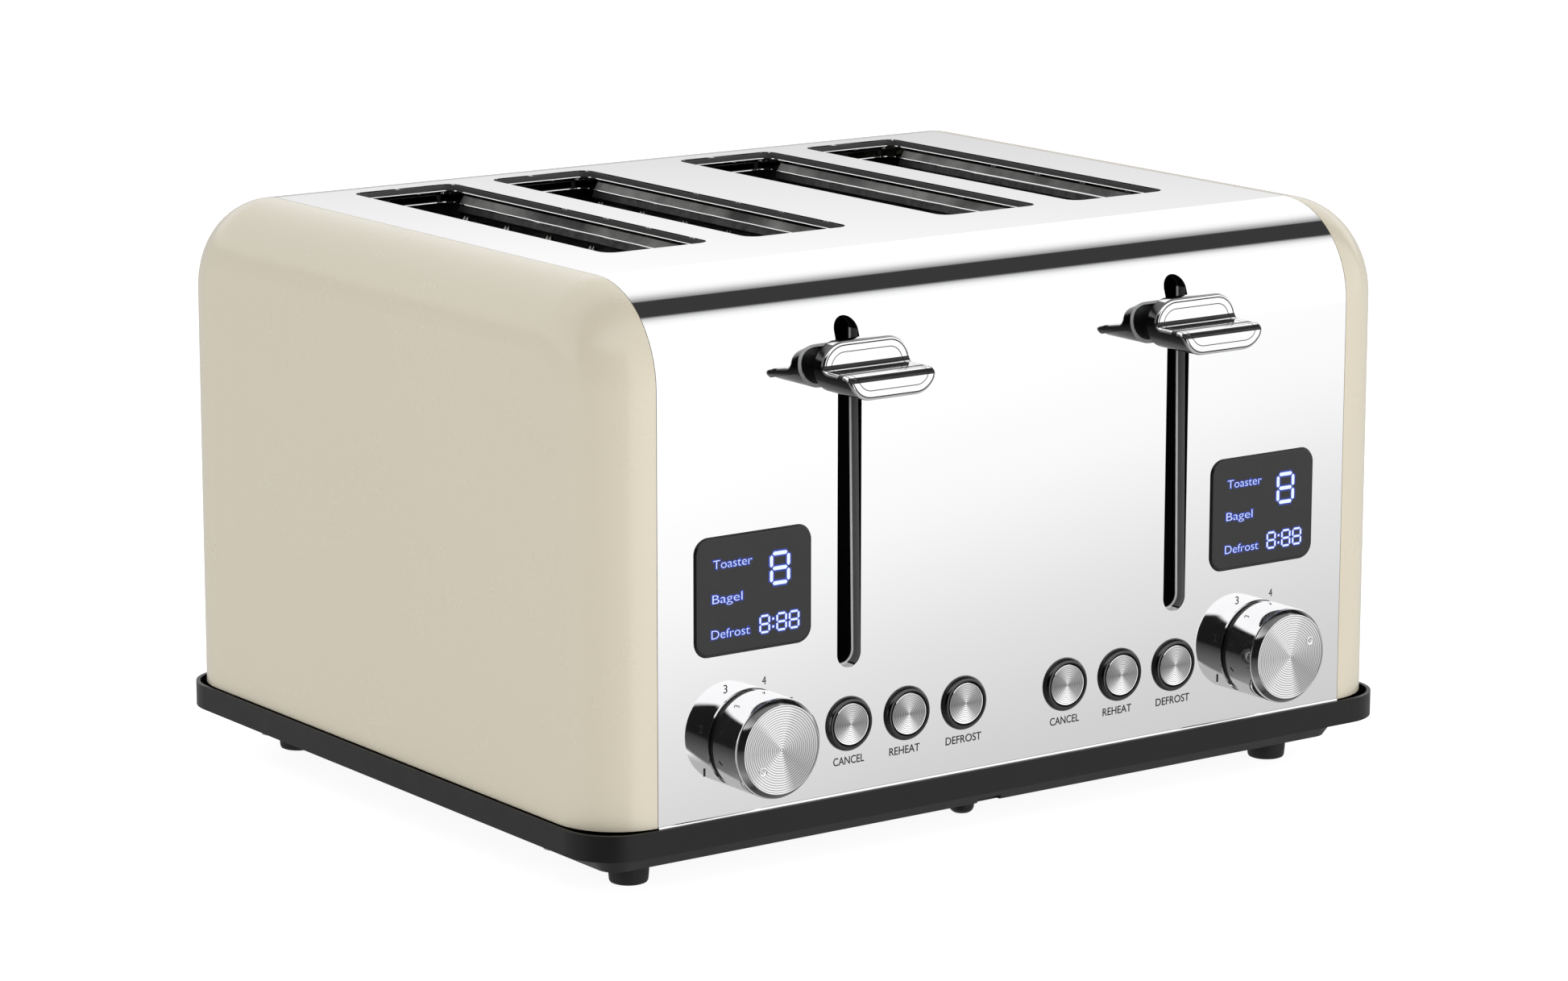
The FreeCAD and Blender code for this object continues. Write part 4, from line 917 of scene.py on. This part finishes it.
def add_dot(shape, x, z, half, depth):
    outline = rounded(half, half, half * 0.55, 3)
    shape.face(shape.ring([spot(x + u, depth, z + v) for u, v in outline]))


def make_display(side):
    """The lens with its dark edge, and the lit words and figures in layers of halo."""
    node = f"{side}_display_lens"
    xs, depths, zs = box_mm(node)
    x, z, front = middle(xs), middle(zs), depths[0]
    half_x, half_z = (xs[1] - xs[0]) / 2, (zs[1] - zs[0]) / 2
    shape = Shape()
    levels = [(0.0, depths[1]), (0.0, front + 0.5), (-0.12, front + 0.2), (-0.45, front + 0.04),
              (-0.7, front), (-1.0, front)]
    rings = []
    for grow, depth in levels:
        outline = rounded(half_x + grow, half_z + grow, 4.8 + grow, 10)
        rings.append([spot(x + u, depth, z + v) for u, v in outline])
    rows = shape.skin(rings, finish=1)
    shape.face(rows[0], 1)
    shape.face(rows[-1], 0)
    build(f"{side}_display_window", shape, [LENS, LENS_EDGE], "root", (node,),
          crease=60)
    left, top = xs[0] + 0.2, zs[1] + 0.2
    for layer, (grow, material) in enumerate(HALOS):
        depth = front - 0.03 - 0.02 * layer
        for words, begin, end, down in (("Toaster", 6.0, 20.2, 8.5), ("Bagel", 5.7, 16.7, 19.0),
                                        ("Defrost", 5.2, 19.2, 29.7)):
            text(f"{side}_{words.lower()}_lit_{layer}", words, left + (begin + end) / 2, depth,
                 top - down, 2.7, end - begin, material, "root",
                 grow * 0.7 - 0.07)
        figures = Shape()
        add_digit(figures, left + 30.4, top - 12.2, 7.4, 10.2, 1.15, grow, depth)
        for place in (24.8, 31.0, 35.6):
            add_digit(figures, left + place, top - 28.7, 3.9, 5.6, 0.62, grow * 0.8, depth)
        for rise in (-1.2, 1.2):
            add_dot(figures, left + 27.9, top - 28.7 + rise, 0.34 + grow * 0.7, depth)
        build(f"{side}_figures_lit_{layer}", figures, [material], "root")


def make_labels():
    """Names under the buttons and numbers round the dials."""
    widths = {"cancel": 11.6, "reheat": 11.6, "defrost": 13.8}
    for side, _ in SIDES:
        for name in BUTTONS:
            x = middle(box_mm(f"{side}_{name}_button")[0])
            text(f"{side}_{name}_label", name.upper(), x - 0.8 * (name == "reheat"), -0.04, 33.6,
                 2.45, widths[name], PRINT, "root", 0.035)
        xs, _, zs = box_mm(f"{side}_browning_dial")
        for number, angle, reach in (("1", 204, 19.0), ("2", 163, 19.5), ("3", 120, 19.3),
                                     ("4", 75.5, 17.9), ("5", 33, 17.2), ("6", -10, 17.2)):
            turn = math.radians(angle)
            width = 0.75 if number == "1" else 1.45
            text(f"{side}_number_{number}", number, middle(xs) + reach * math.cos(turn), -0.04,
                 middle(zs) + reach * math.sin(turn), 2.6, width, PRINT, "root")


# Base ----------------------------------------------------------------------------------------
def make_feet():
    """Rubber feet with a rounded tip and a shoulder under the pan."""
    (x0, x1), (d0, d1), (z0, z1) = box_mm("rubber_feet")
    shape = Shape()
    profile = [(0.01, z0), (5.1, z0), (5.7, z0 + 0.25), (6.0, z0 + 0.8), (6.25, z0 + 3.5),
               (6.35, z0 + 5.6), (6.45, z1 - 0.6), (6.45, z1), (0.01, z1)]
    for x in (x0 + 6.5, x1 - 6.5):
        for depth in (d0 + 6.5, d1 - 6.5):
            rings = []
            for radius, z in profile:
                rings.append([spot(x + u, depth + v, z)
                              for u, v in arc((0, 0), radius, 0, 352.5, 47)])
            shape.skin(rings)
    build("feet", shape, [RUBBER], "root", ("rubber_feet",), crease=50)


# Studio --------------------------------------------------------------------------------------
def make_studio():
    """White surroundings with the dark panels that the chrome shows, over a pale table."""
    world = bpy.data.worlds.new("studio")
    scene.world = world
    world.use_nodes = True
    nodes = Nodes(world.node_tree)
    direction = nodes.add("ShaderNodeTexCoord").outputs["Generated"]
    split = nodes.add("ShaderNodeSeparateXYZ")
    nodes.feed(split.inputs[0], direction)
    x, y, z = split.outputs
    toward = nodes.math("MULTIPLY", y, -1.0)
    turn = 1 / (2 * math.pi)

    def share(angle):
        return nodes.math("MULTIPLY_ADD", angle, turn, 0.5)

    def at(degrees):
        return degrees / 360 + 0.5

    pitch = share(nodes.math("ARCTAN2", z, toward))
    strip = nodes.ramp(pitch, [
        (at(60.0), 1.0), (at(67.0), 0.86), (at(72.6), 0.45), (at(73.6), 0.038), (at(95.8), 0.038),
        (at(96.8), 0.27), (at(102.0), 0.56), (at(108.0), 0.86), (at(116.0), 1.0),
    ])
    height = share(nodes.math("ARCSINE", z))
    heading = share(nodes.math("ARCTAN2", x, toward))
    from_left = nodes.ramp(heading, [
        (at(-104.0), 0.0), (at(-78.0), 1.0), (at(-14.0), 1.0), (at(-9.0), 0.0),
    ])
    left_tone = nodes.ramp(height, [
        (at(-50.0), 0.3), (at(-38.0), 0.16), (at(-8.0), 0.04), (at(-4.5), 0.01),
        (at(33.0), 0.01), (at(36.0), 1.0),
    ])
    aslant = nodes.math("MULTIPLY_ADD", heading, -0.35, 0.5 * 0.35 + 0.35 * 36 / 360)
    right_tone = nodes.ramp(nodes.math("ADD", height, aslant), [
        (at(-20.0), 0.46), (at(-16.0), 0.58), (at(-14.2), 0.73), (at(-13.0), 0.88),
        (at(-12.0), 0.95), (at(-10.5), 1.0),
    ])
    back_tone = nodes.ramp(height, [
        (at(7.0), 0.5), (at(8.0), 0.6), (at(8.7), 0.84), (at(9.4), 0.97), (at(11.0), 1.0),
    ])
    facing = nodes.math("MULTIPLY_ADD", toward, 0.5, 0.5)
    front_share = nodes.ramp(facing, [(0.48, 0.0), (0.52, 1.0)])
    tone = nodes.mix(front_share, back_tone, right_tone)
    tone = nodes.mix(from_left, tone, left_tone)
    tone = nodes.mix(1.0, tone, strip, blend="MULTIPLY")
    background = world.node_tree.nodes["Background"]
    nodes.feed(background.inputs["Color"], tone)
    background.inputs["Strength"].default_value = 1.12

    mesh = bpy.data.meshes.new("table")
    half = 14.0
    mesh.from_pydata([(-half, -half, 0), (half, -half, 0), (half, half, 0), (-half, half, 0)],
                     [], [(0, 1, 2, 3)])
    table = bpy.data.objects.new("table", mesh)
    collection.objects.link(table)
    material = bpy.data.materials.new("table_white")
    material.use_nodes = True
    nodes = Nodes(material.node_tree)
    shader = material.node_tree.nodes["Principled BSDF"]
    faint = nodes.noise(0.6, 2, 0.5, nodes.object_vector())
    white = nodes.ramp(faint, [(0.3, 0.4), (0.7, 0.42)])
    nodes.feed(shader.inputs["Base Color"], white)
    shader.inputs["Roughness"].default_value = 0.9
    shader.inputs["Specular IOR Level"].default_value = 0.0
    shader.inputs["Emission Color"].default_value = rgba(1.0)
    shader.inputs["Emission Strength"].default_value = 0.92
    mesh.materials.append(material)
    table.visible_glossy = False

    for name, place, size, power in (
        ("soft_front", (-0.7, -2.0, 1.3), 1.6, 9.0),
        ("soft_top", (0.2, 0.1, 2.2), 2.2, 10.0),
    ):
        lamp = bpy.data.lights.new(name, "AREA")
        lamp.size = size
        lamp.energy = power
        light = bpy.data.objects.new(name, lamp)
        light.location = place
        light.rotation_mode = "QUATERNION"
        light.rotation_quaternion = (Vector((0, 0, 0.1)) - Vector(place)).to_track_quat("-Z", "Y")
        light.visible_glossy = False
        collection.objects.link(light)
    scene.view_settings.view_transform = "Standard"


def make_camera():
    """A long lens from the front left, a little above."""
    camera = bpy.data.cameras.new("camera")
    camera.lens = 118.0
    camera.sensor_width = 36.0
    camera.clip_start = 0.1
    camera.clip_end = 60.0
    heading, pitch, roll = (math.radians(angle) for angle in (35.791, 11.896, 0.052))
    back = Vector((-math.sin(heading) * math.cos(pitch), -math.cos(heading) * math.cos(pitch),
                   math.sin(pitch)))
    right = (-back).cross(Vector((0, 0, 1))).normalized()
    up = back.cross(right)
    side = right * math.cos(roll) + up * math.sin(roll)
    over = up * math.cos(roll) - right * math.sin(roll)
    holder = bpy.data.objects.new("camera", camera)
    turned = Matrix((side, over, back)).transposed().to_4x4()
    holder.matrix_world = Matrix.Translation((-0.9633, FACE - 1.2137, 0.4355)) @ turned
    collection.objects.link(holder)
    scene.camera = holder


make_camera()
make_studio()
finish_cad_nodes()
make_wrap_hems()
make_slot_throats()
for slot_name in BREAD_SLOTS:
    for hand_name in ("left", "right"):
        make_bread_guide(slot_name, hand_name)
make_lever_slots()
for side_name, _ in SIDES:
    make_lever_knob(side_name)
    make_return_spring(side_name)
    make_dial(side_name)
    make_display(side_name)
    for button_name in BUTTONS:
        make_button(side_name, button_name)
make_bezels()
make_labels()
make_feet()
